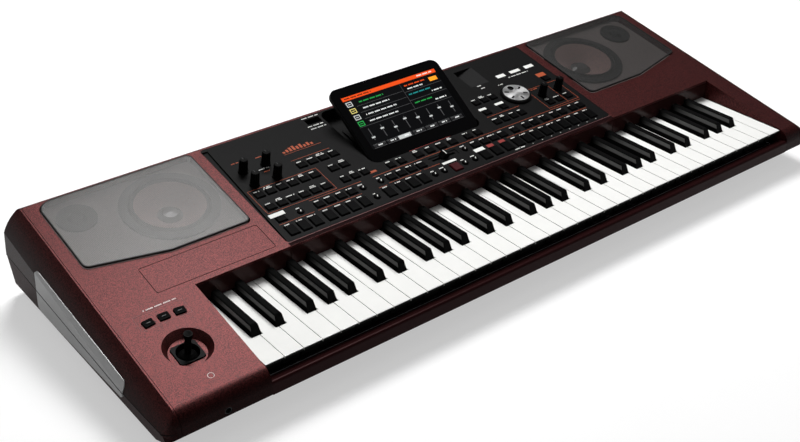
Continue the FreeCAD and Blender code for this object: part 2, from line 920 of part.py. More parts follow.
def black_key(name):
    """Drafted cap with a leaning front, on a lever to the rod."""
    low, high = black_edges(name)
    middle = (low + high) / 2
    half_top = black_top_width / 2
    rear = black_setback + black_length
    base = rectangle((middle, (black_setback + rear) / 2), (black_base_width, black_length), 0)
    top_front = black_setback + black_front_lean
    top_rear = rear - black_rear_lean
    crown = rectangle((middle, (top_front + top_rear) / 2), (2 * half_top, top_rear - top_front), 0)
    lower = outline(base)
    lower.translate(at(0, 0, -black_root))
    upper = outline(crown)
    upper.translate(at(0, 0, black_height))
    cap = Part.makeLoft([lower, upper], True, True)
    rim = [edge for edge in cap.Edges if edge.BoundBox.ZMin > 0 and edge.BoundBox.YMin < top_rear - overrun]
    cap = cap.makeChamfer(black_bevel, rim)
    half = key_lever_width / 2
    pad_end = black_rail_end + key_relief
    pad = block((middle - half, middle + half), (top_front, pad_end), (-key_depth, -black_root))
    return cap.fuse(pad).fuse(lever_to_rod(middle, pad_end - key_relief)).removeSplitter()


def key_row(key, step):
    """Every key of one note name, an octave apart."""
    octave = octave_whites * white_key_pitch
    lefts = [key_left + octave * index for index in range(note_count(step))]
    return [moved(key, left, key_front_y, key_top_height) for left in lefts]


def key_frame():
    """Formed sheet with two stop rails, and fins that carry the pivot rod."""
    base = floor_top + frame_sheet / 2
    riser = pivot_reach - riser_setback
    front_rail = felt_base(front_rail_start, white_drop_angle) - frame_sheet / 2
    black_rail = felt_base(black_rail_start, black_drop_angle) - frame_sheet / 2
    path = (
        (front_rail_start, front_rail), (front_rail_end, front_rail), (front_rail_end, base),
        (black_rail_start, base), (black_rail_start, black_rail), (black_rail_end, black_rail),
        (black_rail_end, base), (riser, base), (riser, base + riser_height),
    )
    corners = [at(key_front_y + y, z, 0) for y, z in path]
    sheet = Part.makePolygon(corners).makeOffset2D(frame_sheet / 2, join=2, fill=False, openResult=False)
    frame_left = well_left + running_gap
    frame_right = well_right - running_gap
    frame = side_prism(Part.Face(sheet), frame_left, frame_right)
    octave = octave_whites * white_key_pitch
    octave_count = white_key_count // octave_whites
    lines = [key_left + octave * (index + 1) - fin_thickness / 2 for index in range(octave_count)]
    for left in [frame_left] + lines + [frame_right - fin_thickness]:
        frame = frame.fuse(side_prism(fin_face(), left, left + fin_thickness))
    return frame.removeSplitter()


def fin_face():
    """Fin with a notch, open upwards, that the pivot rod lies in."""
    notch = rod_radius + running_gap / 4
    points = (
        (pivot_y - fin_root_run, floor_top, 0),
        (pivot_y + fin_head, floor_top, 0),
        (pivot_y + fin_head, pivot_z + notch, 0),
        (pivot_y + notch, pivot_z + notch, 0),
        (pivot_y + notch, pivot_z - notch, 0),
        (pivot_y - notch, pivot_z - notch, 0),
        (pivot_y - notch, pivot_z + notch, 0),
        (pivot_y - fin_head, pivot_z + notch, 0),
    )
    return Part.Face(outline(points))


def felt_base(reach, angle):
    """Height of a felt's underside, so that a pressed key just clears the felt."""
    drop = (pivot_reach - reach) * math.sin(math.radians(angle))
    return key_top_height - key_depth - drop - stop_clearance - felt_thickness


def key_felts():
    strips = []
    for start, end, angle in (
        (front_rail_start, front_rail_end, white_drop_angle),
        (black_rail_start, black_rail_end, black_drop_angle),
    ):
        low = felt_base(start, angle)
        ends = (well_left + wall + felt_inset, well_right - wall - felt_inset)
        strips.append(block(ends, (key_front_y + start, key_front_y + end), (low, low + felt_thickness)))
    return strips


def key_rod():
    return rod_x(pivot_y, pivot_z, rod_radius, key_left - rod_end, key_left + keyboard_width + rod_end)


# Control panel and its controls
def button_places(name):
    """Centre and size of each button in one group."""
    places = []
    for first, row, count, pitch_share, kind in button_row_shares[name]:
        x, run = on_panel((first, row))
        pitch = grid_pitch * pitch_share
        places += [((x + pitch * index, run), button_sizes[kind]) for index in range(count)]
    return places


def button_cap(center, size):
    """Cap with a skirt under the panel and a bevelled top."""
    grown = rectangle(center, size, 0)
    crown = rectangle(center, [length - 2 * button_bevel for length in size], 0)
    skirt = slab(grown, -button_skirt, button_rise - button_bevel)
    lower = outline(grown)
    lower.translate(at(0, 0, button_rise - button_bevel))
    upper = outline(crown)
    upper.translate(at(0, 0, button_rise))
    return on_slope(skirt.fuse(Part.makeLoft([lower, upper], True, True)).removeSplitter())


def round_buttons():
    """Small round caps and the start button."""
    bevel = round_button_radius - button_bevel
    profile = (
        (0, -button_skirt), (round_button_radius, -button_skirt),
        (round_button_radius, button_rise - button_bevel), (bevel, button_rise), (0, button_rise),
    )
    caps = [on_slope(moved(turned(profile), *on_panel(share), 0)) for share in round_button_shares]
    return caps + [button_cap(on_panel(start_button_share), start_size)]


def display_center(grow_front, grow_rear):
    return (0, display_front + (display_height + grow_rear - grow_front) / 2)


def pocket_points():
    size = (display_width + 2 * pocket_side_gap, display_height + pocket_front_gap + pocket_rear_gap)
    return rectangle(display_center(pocket_front_gap, pocket_rear_gap), size, display_corner)


def grown_pocket(grow):
    """Outside of the display pocket's walls."""
    side = pocket_side_gap + pocket_wall + grow
    end = pocket_floor + grow
    size = (display_width + 2 * side, display_height + pocket_front_gap + pocket_rear_gap + 2 * end)
    return rectangle(display_center(pocket_front_gap, pocket_rear_gap), size, display_corner)


def scoop(grow, low):
    """Finger ramp beside the display: a wedge, deepest at its left end."""
    left = panel_width * (scoop_left_share - 0.5) - grow
    front = panel_front + panel_depth * scoop_front_share - grow
    points = (at(left, front, low), at(left + scoop_width + 2 * grow, front, low))
    points += (at(left, front, low - scoop_depth),)
    face = Part.Face(Part.makePolygon(points + points[:1]))
    return face.extrude(at(0, scoop_length + 2 * grow, 0))


def control_panel():
    """Black panel with the display pocket, holes for every control, a port and a finger ramp."""
    panel = panel_opening(0, -panel_thickness, 0)
    panel = panel.fuse(slab(grown_pocket(0), -pocket_depth - pocket_floor, -panel_thickness / 2))
    panel = panel.fuse(scoop(scoop_wall, -panel_thickness / 2))
    port = (panel_width * (port_share[0] - 0.5), panel_front + panel_depth * port_share[1])
    boxed = [length + 2 * port_wall for length in (port_width, port_depth)]
    panel = panel.fuse(slab(rectangle(port, boxed, 0), -port_recess - port_wall, -panel_thickness / 2))
    panel = panel.cut(slab(rectangle(port, (port_width, port_depth), 0), -port_recess, overrun))
    panel = panel.cut(slab(pocket_points(), -pocket_depth, overrun))
    panel = panel.cut(scoop(0, 0))
    panel = panel.cut(edge_channel())
    hinge = display_front + hinge_rise
    reach = display_width / 2 + hinge_pin_reach + running_gap
    panel = panel.cut(rod_x(hinge, -hinge_sink, hinge_radius + running_gap, -reach, reach))
    for share in pocket_rib_shares:
        middle = (display_width * share, display_center(0, 0)[1])
        rib = rectangle(middle, (pocket_rib_width, display_height / 2), 0)
        panel = panel.fuse(slab(rib, -pocket_depth - pocket_floor / 2, -pocket_depth + pocket_rib_height))
    for x in panel_posts():
        for run in (panel_front + board_margin * 2, panel_rear - board_margin * 2):
            panel = panel.fuse(disc((x, run), post_radius, -board_drop, -panel_thickness / 2))
    holes = control_holes()
    return on_slope(panel.cut(Part.makeCompound(holes)).removeSplitter())


def edge_channel():
    """Tapered shadow channel along the panel's left edge."""
    left = -panel_width / 2
    points = (
        (left, panel_front, 0), (left + channel_front_width, panel_front, 0),
        (left + channel_rear_width, panel_rear - panel_radius, 0), (left, panel_rear - panel_radius, 0),
    )
    return slab(points, -channel_depth, overrun)


def control_holes():
    """Through holes for every button, knob, dial and slider."""
    low = -panel_thickness - overrun
    holes = []
    for name in button_row_shares:
        for center, size in button_places(name):
            opening = [length + 2 * button_gap for length in size]
            holes.append(slab(rectangle(center, opening, 0), low, overrun))
    start_hole = [length + 2 * button_gap for length in start_size]
    holes.append(slab(rectangle(on_panel(start_button_share), start_hole, 0), low, overrun))
    for share in round_button_shares:
        holes.append(disc(on_panel(share), round_button_radius + button_gap, low, overrun))
    for share in knob_shares.values():
        holes.append(disc(on_panel(share), knob_stem_radius + running_gap, low, overrun))
    holes.append(disc(on_panel(dial_share), dial_stem_radius + running_gap, low, overrun))
    slider = on_panel(slider_share)
    well = slab(rectangle(slider, (slider_slot_length, slider_well_width), 0), -slider_well_depth, overrun)
    slot_size = (2 * slider_travel + slider_stem[0] + 2 * running_gap, slider_slot_width)
    holes.append(well.fuse(slab(rectangle(slider, slot_size, 0), low, overrun)))
    return holes


def panel_posts():
    """Lines of posts that hold the two boards under the panel."""
    near = display_width / 2 + pocket_side_gap + pocket_wall + post_setback
    far = panel_width / 2 - board_margin * 2
    return (-far, -near, near, far)


def fluted_wire(radius, height):
    """Ring of grip flutes, as points in and out by turns."""
    points = []
    for index in range(2 * knob_flutes):
        angle = math.pi * index / knob_flutes
        reach = radius - knob_flute_depth * (index % 2)
        points.append(at(reach * math.cos(angle), reach * math.sin(angle), height))
    return Part.makePolygon(points + points[:1])


def knob(share):
    """Tall fluted knob on a collar, with its stem through the panel."""
    low = knob_lift
    profile = (
        (0, -knob_stem_depth), (knob_stem_radius, -knob_stem_depth), (knob_stem_radius, low),
        (knob_base_radius, low), (knob_base_radius, low + knob_collar), (0, low + knob_collar),
    )
    base = fluted_wire(knob_base_radius - button_bevel, low + knob_collar)
    brow = fluted_wire(knob_top_radius, knob_height - button_bevel)
    crown = fluted_wire(knob_top_radius - button_bevel, knob_height)
    grip = Part.makeLoft([base, brow], True, True).fuse(Part.makeLoft([brow, crown], True, True))
    return on_slope(moved(turned(profile).fuse(grip), *on_panel(share), 0))


def data_dial():
    """Flat wheel with a stepped face and a finger dimple."""
    low = knob_lift
    profile = (
        (0, -knob_stem_depth), (dial_stem_radius, -knob_stem_depth), (dial_stem_radius, low),
        (dial_radius, low), (dial_radius, dial_height - dial_rim_radius),
        (dial_radius - dial_rim_radius, dial_height), (dial_face_radius, dial_height),
        (dial_face_radius, dial_height + dial_face_step), (0, dial_height + dial_face_step),
    )
    wheel = turned(profile)
    reach = dial_face_radius * dimple_reach_share
    top = dial_height + dial_face_step
    dimple_floor = top - dimple_depth
    edge = ((dimple_radius - dimple_depth, dimple_floor), (dimple_radius, top))
    dimple = turned(((0, dimple_floor), *edge, (0, top)))
    wheel = wheel.cut(moved(dimple, 0, reach, 0))
    return on_slope(moved(wheel, *on_panel(dial_share), 0))


def balance_slider():
    """Slider cap with a cross ridge, on a stem through its slot."""
    base = running_gap
    length, depth = slider_cap
    center = on_panel(slider_share)
    points = (
        (-length / 2, base, 0), (length / 2, base, 0),
        (slider_ridge, slider_cap_height, 0), (-slider_ridge, slider_cap_height, 0),
    )
    face = Part.Face(outline(points))
    face.rotate(at(0, 0, 0), at(1, 0, 0), 90)
    face.translate(at(center[0], center[1] - depth / 2, 0))
    cap = face.extrude(at(0, depth, 0))
    stem = slab(rectangle(center, slider_stem, 0), -slider_stem_depth, base)
    return on_slope(cap.fuse(stem).removeSplitter())


def tilted(shape):
    """From the closed display to the raised one, turned about its hinge."""
    raised = shape.copy()
    raised.rotate(at(0, display_front + hinge_rise, -hinge_sink), at(1, 0, 0), display_tilt)
    return on_slope(raised)


def display_shell():
    """Rounded rim on a tapered back, with hinge pins at its lower corners."""
    top = -display_sink - display_glass
    middle = top - display_rim
    bottom = -display_sink - display_thickness
    size = (display_width, display_height)
    body = slab(rectangle(display_center(0, 0), size, display_corner), middle, top)
    ends = []
    for height, inset in ((middle, display_back_inset), (bottom, 2 * display_back_inset)):
        end = outline(rectangle(display_center(0, 0), [length - 2 * inset for length in size], 0))
        end.translate(at(0, 0, height))
        ends.append(end)
    body = body.fuse(Part.makeLoft(ends, True, True))
    reach = display_width / 2 + hinge_pin_reach
    for end in (-reach, display_width / 2 - display_corner):
        tip = end + display_corner + hinge_pin_reach
        pin = rod_x(display_front + hinge_rise, -hinge_sink, hinge_radius, end, tip)
        body = body.fuse(pin)
    return tilted(body.removeSplitter())


def display_face():
    size = [length - 2 * display_glass_inset for length in (display_width, display_height)]
    points = rectangle(display_center(0, 0), size, display_corner - display_glass_inset)
    return tilted(slab(points, -display_sink - display_glass, -display_sink))


# Speakers
def grille():
    """Raised sheet cover with a skirt that stands on the baffle."""
    outer = slab(grille_points(grille_gap), -baffle_depth, grille_rise)
    inner = slab(grille_points(grille_gap + grille_sheet), -overrun, grille_rise - grille_sheet)
    return on_slope(outer.cut(inner))


def woofer_basket():
    """Flange, tapered basket and magnet."""
    top = -baffle_depth + woofer_flange
    bottom = -baffle_depth - woofer_depth
    magnet_top = bottom + magnet_height
    throat = woofer_throat_radius
    profile = (
        (0, bottom), (magnet_radius, bottom), (magnet_radius, magnet_top), (throat, -baffle_depth),
        (woofer_radius, -baffle_depth), (woofer_radius, top), (throat - basket_sheet, top),
        (throat - basket_sheet, -baffle_depth), (magnet_radius - basket_sheet, magnet_top + basket_sheet),
        (0, magnet_top + basket_sheet),
    )
    return on_slope(moved(turned(profile), *woofer_center, 0))


def woofer_cone():
    """Roll surround, paper cone and dust cap."""
    seat = -baffle_depth + woofer_flange - cone_sheet
    rim = woofer_throat_radius - basket_sheet - cone_seat
    roll = (rim + woofer_cone_radius) / 2
    floor = seat - cone_depth
    bend = cap_radius * cap_bend_share
    under = [
        (rim, seat), (roll, seat + surround_rise), (woofer_cone_radius, seat), (cap_radius, floor),
        (bend, floor + cap_rise - cone_sheet), (0, floor + cap_rise),
    ]
    over = [(radius, height + cone_sheet) for radius, height in under]
    return on_slope(moved(turned(over + under[::-1]), *woofer_center, 0))


def tweeter():
    """Dome tweeter on the baffle."""
    top = -baffle_depth + tweeter_flange
    bend = (tweeter_dome_radius * tweeter_bend_shares[0], top + tweeter_dome_rise * tweeter_bend_shares[1])
    profile = (
        (0, -baffle_depth - tweeter_body_depth), (tweeter_body_radius, -baffle_depth - tweeter_body_depth),
        (tweeter_body_radius, -baffle_depth), (tweeter_radius, -baffle_depth), (tweeter_radius, top),
        (tweeter_dome_radius, top - tweeter_flange / 2), bend,
        (0, top + tweeter_dome_rise),
    )
    return on_slope(moved(turned(profile), *tweeter_center, 0))


# Joystick: boot frame, gimbal ring and stick, each turning about its own trunnions
def at_stick(shape):
    return on_slope(moved(shape, stick_center[0], stick_center[1], -gimbal_sink))


def joystick_base():
    """Boot frame with a box below that holds the gimbal's trunnions."""
    floor = gimbal_sink - cup_depth
    top = floor + boot_rise
    flange = [length + 2 * boot_wall for length in boot_size]
    seat = floor - cup_wall
    body = slab(rectangle((0, 0), boot_size, boot_radius), floor - gimbal_box_depth, top)
    body = body.fuse(slab(rectangle((0, 0), flange, boot_radius), seat - boot_wall, seat))
    inner = [length - 2 * boot_wall for length in boot_size]
    box_floor = floor - gimbal_box_depth + boot_wall
    body = body.cut(slab(rectangle((0, 0), inner, boot_radius / 2), box_floor, seat))
    body = body.cut(disc((0, 0), boot_opening_radius, 0, top + overrun))
    pin = rod_x(0, 0, trunnion_radius + running_gap / 4, -boot_size[0], boot_size[0])
    return at_stick(body.cut(pin).removeSplitter())


def joystick_gimbal():
    """Ring that turns on two trunnions and carries the stick's trunnions."""
    half = gimbal_half_height
    ring = disc((0, 0), gimbal_outer_radius, -half, half).cut(disc((0, 0), gimbal_inner_radius, -half, half))
    reach = boot_size[0] / 2 - boot_wall / 2
    pin = rod_x(0, 0, trunnion_radius, -reach, reach)
    ring = ring.fuse(pin.cut(disc((0, 0), gimbal_inner_radius, -half, half)))
    bore_radius = trunnion_radius + running_gap / 4
    bore = Part.makeCylinder(bore_radius, case_width, at(0, -half_width, 0), at(0, 1, 0))
    return at_stick(ring.cut(bore).removeSplitter())


def dome_points(radius):
    """Bends of a dome cap, from its skirt to its top."""
    angles = [math.radians(90 * share) for share in dome_bend_shares]
    return [(radius * math.cos(angle), radius * math.sin(angle)) for angle in angles]


def joystick_stick():
    """Stick with a dished tip, a dome that closes the boot and a hub with two trunnions."""
    outer = dome_points(dome_radius)
    inner = dome_points(dome_radius - dome_sheet)
    dome = turned(outer + [(0, dome_radius), (0, dome_radius - dome_sheet)] + inner[::-1])
    top = gimbal_sink + stick_top
    shaft = turned((
        (0, -stick_hub_radius), (stick_hub_radius, -stick_hub_radius), (stick_hub_radius, stick_hub_radius),
        (stick_radius, stick_hub_radius), (stick_radius, top - 2 * stick_tip_height),
        (stick_tip_radius, top - stick_tip_height), (stick_tip_radius, top),
        (stick_tip_radius - button_bevel, top), (0, top - stick_dish_depth),
    ))
    reach = gimbal_outer_radius - running_gap
    pin = Part.makeCylinder(trunnion_radius, 2 * reach, at(0, -reach, 0), at(0, 1, 0))
    return at_stick(dome.fuse(shaft).fuse(pin).removeSplitter())


# Back panel
def rear_place(share):
    return (rear_opening_center[0] + rear_opening[0] * share, rear_opening_center[1])


def rear_panel():
    """Plate behind the back opening, holed for its sockets."""
    size = [length + 2 * rear_plate_margin for length in rear_opening]
    plate = slab(rectangle(rear_opening_center, size, 0), wall, wall + rear_plate)
    low = -overrun
    high = wall + rear_plate + overrun
    for share in jack_shares:
        plate = plate.cut(disc(rear_place(share), jack_radius + seat_gap, low, high))
    for share in din_shares:
        plate = plate.cut(disc(rear_place(share), din_radius + seat_gap, low, high))
    for share in usb_shares:
        plate = plate.cut(slab(rectangle(rear_place(share), usb_size, 0), low, high))
    plate = plate.cut(slab(rectangle(rear_place(inlet_share), inlet_size, 0), low, high))
    rocker_hole = [length + 2 * rocker_gap for length in rocker_size]
    plate = plate.cut(slab(rectangle(rear_place(rocker_share), rocker_hole, 0), low, high))
    return on_rear(plate)


def rear_sockets():
    """Jack bushes, round sockets and serial ports."""
    front = wall - jack_nose
    back = wall + rear_plate
    sockets = []
    for share in jack_shares:
        bush = disc(rear_place(share), jack_radius, front, back)
        bush = bush.fuse(disc(rear_place(share), jack_radius + socket_shoulder, back, wall + jack_depth))
        sockets.append(bush.cut(disc(rear_place(share), jack_bore_radius, 0, wall + jack_depth - rear_plate)))
    for share in din_shares:
        shell = disc(rear_place(share), din_radius, front, back)
        shell = shell.fuse(disc(rear_place(share), din_radius + socket_shoulder, back, wall + din_depth))
        sockets.append(shell.cut(disc(rear_place(share), din_bore_radius, 0, wall + din_depth - rear_plate)))
    for share in usb_shares:
        shell = slab(rectangle(rear_place(share), usb_size, 0), front, wall + usb_depth)
        mouth = slab(rectangle(rear_place(share), usb_opening, 0), 0, wall + usb_depth - rear_plate)
        sockets.append(shell.cut(mouth))
    return [on_rear(socket) for socket in sockets]


def mains_inlet():
    """Inlet with a mouth and its blades."""
    place = rear_place(inlet_share)
    front = wall - jack_nose
    body = slab(rectangle(place, inlet_size, 0), front, wall + inlet_depth)
    body = body.cut(slab(rectangle(place, inlet_mouth, inlet_pin[0]), 0, wall + inlet_mouth_depth))
    for share in inlet_pin_shares:
        pin = rectangle((place[0] + share * inlet_pin_pitch, place[1]), inlet_pin, 0)
        body = body.fuse(slab(pin, wall, wall + inlet_depth))
    return on_rear(body)


def power_rocker():
    """Two-faced rocker in the back panel, bored for its pin."""
    place = rear_place(rocker_share)
    half = rocker_size[1] / 2
    rise = math.tan(math.radians(rocker_lean)) * half
    points = (
        (place[1] - half, wall + rocker_depth, 0), (place[1] - half, wall - rocker_rise - rise, 0),
        (place[1], wall - rocker_rise, 0), (place[1] + half, wall - rocker_rise - rise, 0),
        (place[1] + half, wall + rocker_depth, 0),
    )
    half_x = rocker_size[0] / 2
    rocker = side_prism(Part.Face(outline(points)), place[0] - half_x, place[0] + half_x)
    axis = at(place[0] - half_x, place[1], wall + rocker_depth / 2)
    rocker = rocker.cut(Part.makeCylinder(rocker_bore_radius, rocker_size[0], axis, at(1, 0, 0)))
    rocker.rotate(axis, at(1, 0, 0), rocker_lean)
    return on_rear(rocker)


def circuit_boards():
    """Two boards on the panel's posts, and the main board on its bosses."""
    near = panel_posts()[2] - board_margin
    far = panel_posts()[3] + board_margin
    ends = (panel_front + board_margin, panel_rear - board_margin)
    right = slab(
        rectangle(((near + far) / 2, sum(ends) / 2), (far - near, ends[1] - ends[0]), 0),
        -board_drop - board_thickness, -board_drop,
    )
    low = floor_top + boss_height
    main = slab(rectangle(main_board_center, main_board_size, 0), low, low + board_thickness)
    return [on_slope(right), mirrored(on_slope(right)), main]


def write(name, solids):
    """One file for each named piece; a list is written as a group of solids."""
    group = solids if isinstance(solids, list) else [solids]
    shape = group[0] if len(group) == 1 else Part.makeCompound(group)
    shape.exportStep("parts/" + name + ".step")


def build():
    os.makedirs("parts", exist_ok=True)
    write("top_cover", top_cover())
    write("bottom_case", bottom_case())
    write("left_cheek", end_cheek(-1))
    write("right_cheek", end_cheek(1))
    write("side_trims", side_trims())
    write("rubber_feet", rubber_feet())
    write("fallboard", fallboard())
    write("keyslip", keyslip())
    write("key_frame", key_frame())
    write("key_felts", key_felts())
    write("key_rod", key_rod())
    for step, name in enumerate(white_names):
        write("key_" + name, key_row(white_key(name), step))
    for name in black_offset_shares:
        write("key_" + name, key_row(black_key(name), black_step(name) - 1))
    top_step = (white_key_count - 1) * white_key_pitch
    write("key_top_c", moved(white_key("c", True), key_left + top_step, key_front_y, key_top_height))
    write("control_panel", control_panel())
    for name in button_row_shares:
        write(name, [button_cap(center, size) for center, size in button_places(name)])
    write("buttons_round", round_buttons())
    for name, share in knob_shares.items():
        write(name, knob(share))
    write("data_dial", data_dial())
    write("balance_slider", balance_slider())
    write("display_shell", display_shell())
    write("display_face", display_face())
    right_grille = grille()
    write("right_grille", right_grille)
    write("left_grille", mirrored(right_grille))
    write("woofer_baskets", [woofer_basket(), mirrored(woofer_basket())])
    write("woofer_cones", [woofer_cone(), mirrored(woofer_cone())])
    write("tweeters", [tweeter(), mirrored(tweeter())])
    for index, name in ((-1, "switch_1"), (0, "switch_2"), (1, "switch_3")):
        write(name, on_slope(switch_form(index, 0, -switch_skirt, switch_rise)))
    write("joystick_base", joystick_base())
    write("joystick_gimbal", joystick_gimbal())
    write("joystick_stick", joystick_stick())
    write("phones_socket", phones_socket())
    write("rear_panel", rear_panel())
    write("rear_sockets", rear_sockets())
    write("mains_inlet", mains_inlet())
    write("power_rocker", power_rocker())
    write("circuit_boards", circuit_boards())


build()
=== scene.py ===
import json
import math
from collections import defaultdict, namedtuple

import bmesh
import bpy
from bpy.props import FloatProperty, FloatVectorProperty, IntProperty, PointerProperty
from bpy.types import NodeSocket, Operator, Panel, PropertyGroup
from mathutils import Euler, Matrix, Vector
from mathutils.geometry import convex_hull_2d


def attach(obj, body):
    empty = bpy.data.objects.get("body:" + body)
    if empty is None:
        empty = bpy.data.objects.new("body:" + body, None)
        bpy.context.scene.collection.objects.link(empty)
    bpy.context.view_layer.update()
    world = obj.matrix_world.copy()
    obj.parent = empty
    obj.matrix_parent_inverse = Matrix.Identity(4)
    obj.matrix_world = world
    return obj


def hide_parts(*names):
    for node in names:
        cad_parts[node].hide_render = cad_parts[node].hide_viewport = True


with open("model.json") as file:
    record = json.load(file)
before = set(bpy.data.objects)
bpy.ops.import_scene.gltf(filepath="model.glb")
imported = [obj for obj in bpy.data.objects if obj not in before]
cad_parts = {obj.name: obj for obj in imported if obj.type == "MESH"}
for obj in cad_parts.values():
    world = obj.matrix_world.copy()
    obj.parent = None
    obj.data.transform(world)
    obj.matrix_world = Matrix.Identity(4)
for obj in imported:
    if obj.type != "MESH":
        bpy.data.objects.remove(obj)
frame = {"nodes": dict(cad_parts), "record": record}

bl_info = {
    "name": "Arranger Keyboard Looks",
    "version": (1, 0, 0),
    "blender": (4, 5, 0),
    "location": "View3D > Sidebar > Arranger",
    "description": "Finishes, print, screen, grilles and studio for the arranger keyboard",
    "category": "Object",
}

NODES = frame["nodes"]

# Places on the sloped top are millimetres across (0 at the middle), up the slope from the front of
# the keys, and off the surface. Places on the display are the same with the display folded flat.
MM = 1000.0
TO_METRES = Matrix.Scale(1 / MM, 4)
SLOPE_ANGLE = math.radians(11.16)
SLOPE_FOOT = (0.0, -0.17519, 0.06125)
DISPLAY_TILT = math.radians(22.4)
DISPLAY_HINGE = (0.0, 221.98, -8.5)
GLASS_TOP = -0.5
BACK_LEAN = math.radians(13.63)
BACK_FOOT = (0.0, 0.18919, 0.0087)
SEAM_ANGLE = math.radians(4.1)
SEAM_FOOT = (0.0, -0.17919, 0.0397)
# Corners of a mesh this near, in metres, are one, and creases up to this angle are smooth
MERGE_REACH = 1e-6
SMOOTH_ANGLE = math.radians(32.0)
# Heights this near are one, and a face looks along an axis from this share of its normal
LEVEL_REACH = 0.05
FACING = 0.9

# Printed lines of each ink, level or upright: left, low, right, high
LINES = {
    "orange_ink": (
        (-256, 196, -158.3, 196), (-256, 241, -158.3, 241),
        (-256, 196, -256, 241), (-158.3, 196, -158.3, 241),
        (198.8, 196, 255, 196), (198.8, 244, 255, 244),
        (198.8, 196, 198.8, 244), (235, 196, 235, 244), (255, 196, 255, 244),
        (-201, 192.3, -125, 192.3), (-107, 192.3, 254, 192.3),
        (-255, 172.9, -207, 172.9), (-201, 172.9, -138, 172.9), (-96, 172.9, -46, 172.9),
        (-41, 172.9, -16, 172.9), (99, 172.9, 247, 172.9), (106, 220.5, 164, 220.5),
        (-177, 280.8, -123, 280.8), (-177, 266.5, -120, 266.5), (-112.5, 171.2, -100.5, 171.2),
    ),
    "red_ink": ((-34, 212, 34, 212),),
    # Box round the three switches, and a painted highlight along the far edge of the strip
    "outline": (
        (-468, 102, -410, 102), (-468, 124.6, -410, 124.6),
        (-468, 102, -468, 124.6), (-410, 102, -410, 124.6),
        (-264.2, 142.2, 264.2, 142.2),
    ),
}
# Printed plates of each ink: left, low, right, high
PLATES = {
    "white_ink": (
        (-258.3, 187, -237.5, 193.6), (-13, 168.2, 9, 172.2), (41, 168, 57, 174.4),
        (106.7, 236, 119, 240.6), (135.5, 236, 150, 240.6),
        (183.4, 285.6, 198.4, 292.2), (208.6, 286.2, 227, 292), (237, 286, 253, 292.6),
    ),
    "red_ink": ((62.7, 168.4, 73, 173.6), (83, 168.4, 92.5, 173.6)),
    "orange_ink": ((238.5, 260.4, 253.5, 268.6), (-105.6, 199, -95, 202.6)),
}
# Stray labels of each ink: across, up, width
LABELS = {
    "white_ink": (
        (-105, 332.5, 28), (-107, 314.4, 24), (-106, 308.6, 25), (-214, 269.4, 16),
        (217, 279.6, 38), (146, 283, 8), (147, 276.4, 9), (99, 147, 20),
        (-434, 127.4, 40), (176, 271.4, 10),
    ),
    "orange_ink": ((-240, 294.6, 11), (-208, 291.6, 10), (-213.5, 263.6, 13), (211, 240.4, 12)),
}
PLATE_DRAW = 0.97
# Dark sheet of painted shade on the strip before the panel: left, low, right, high
PAINTED_SHADE_LIP_BOX = (-264.2, 136.6, 264.2, 141.8)
PHONES_RING = (-439.0, 16.0)
RING_SIDES = 32
# Level bars beside the knobs, with heights as shares of the tallest
BAR_START = -177.0
BAR_PITCH = 5.2
BAR_WIDTH = 3.2
BAR_FOOT = 283.4
BAR_TALLEST = 9.0
BAR_SHARES = (0.35, 0.6, 0.85, 1.0, 0.7, 0.9, 0.5, 0.75, 0.45)
# A label that isn't short leaves out one mark of each word
SHORT_MARKS = 5
WORD_MARKS = 6
WORD_GAP = 3
# Buttons' labels: widths in turn, as shares of a button's, and the second line on the rear rows
LABEL_ROOM = 3.0
WIDTH_SHARES = (0.55, 0.75, 0.95, 0.65, 0.85)
SECOND_EVERY = 3
SECOND_FROM = 195.0
SECOND_RISE = 1.5
SECOND_WIDTH = 0.8
# Dots before the set buttons at the right: up, width, height
DOTS_FROM = 100.0
DOT = (146.6, 2.0, 1.0)

# Marks on the controls: across, along
POINTER_SIZE = (1.2, 3.2)
POINTER_SHIFT = 2.2
SWITCH_MARK = (4.8, 0.6)
SLIDER_LINE = (1.0, 8.4)
TICK_SIZE = (1.1, 3.2)
TICK_TURN = math.radians(-28.0)
DASH_SIZE = (2.8, 6.6)
DASH_TURNS = [index * math.pi / 3 for index in range(1, 6)]
# Shares of the dial's radius: the turned face, and where the dashes lie
DIAL_FACE = 0.845
DASH_REACH = 0.6
# Round buttons are narrower than this, and the start button reaches no farther
START_REACH = 11.0

# Screen tiles: left, low, right, high, colour
SCREEN_TILES = (
    (-76.8, 235.9, 76.8, 317.7, "dark"), (-76.8, 312, 76.8, 317.7, "orange"),
    (-76, 270.2, 76, 270.6, "grey"), (-62, 280.2, 12, 280.6, "grey"),
    (-62, 290.2, 12, 290.6, "grey"), (-62, 300.2, 12, 300.6, "grey"),
    (13.6, 270.6, 14, 311, "grey"), (14, 283.6, 76, 284, "grey"),
    (14, 297.2, 76, 297.6, "grey"), (60, 301.4, 73, 307.4, "tag"),
    (-33.6, 237, -14, 242.4, "bright"),
)
# Screen pictures, as square rings down the left side: middle, colour
SCREEN_PICTURES = ((306, "bright"), (295.6, "yellow"), (285.4, "bright"), (275.4, "green"))
PICTURE_SIDES = (-75.0, -66.0)
PICTURE_HALF = 3.6
PICTURE_BAR = 1.2
PICTURE_CROSS = 1.0
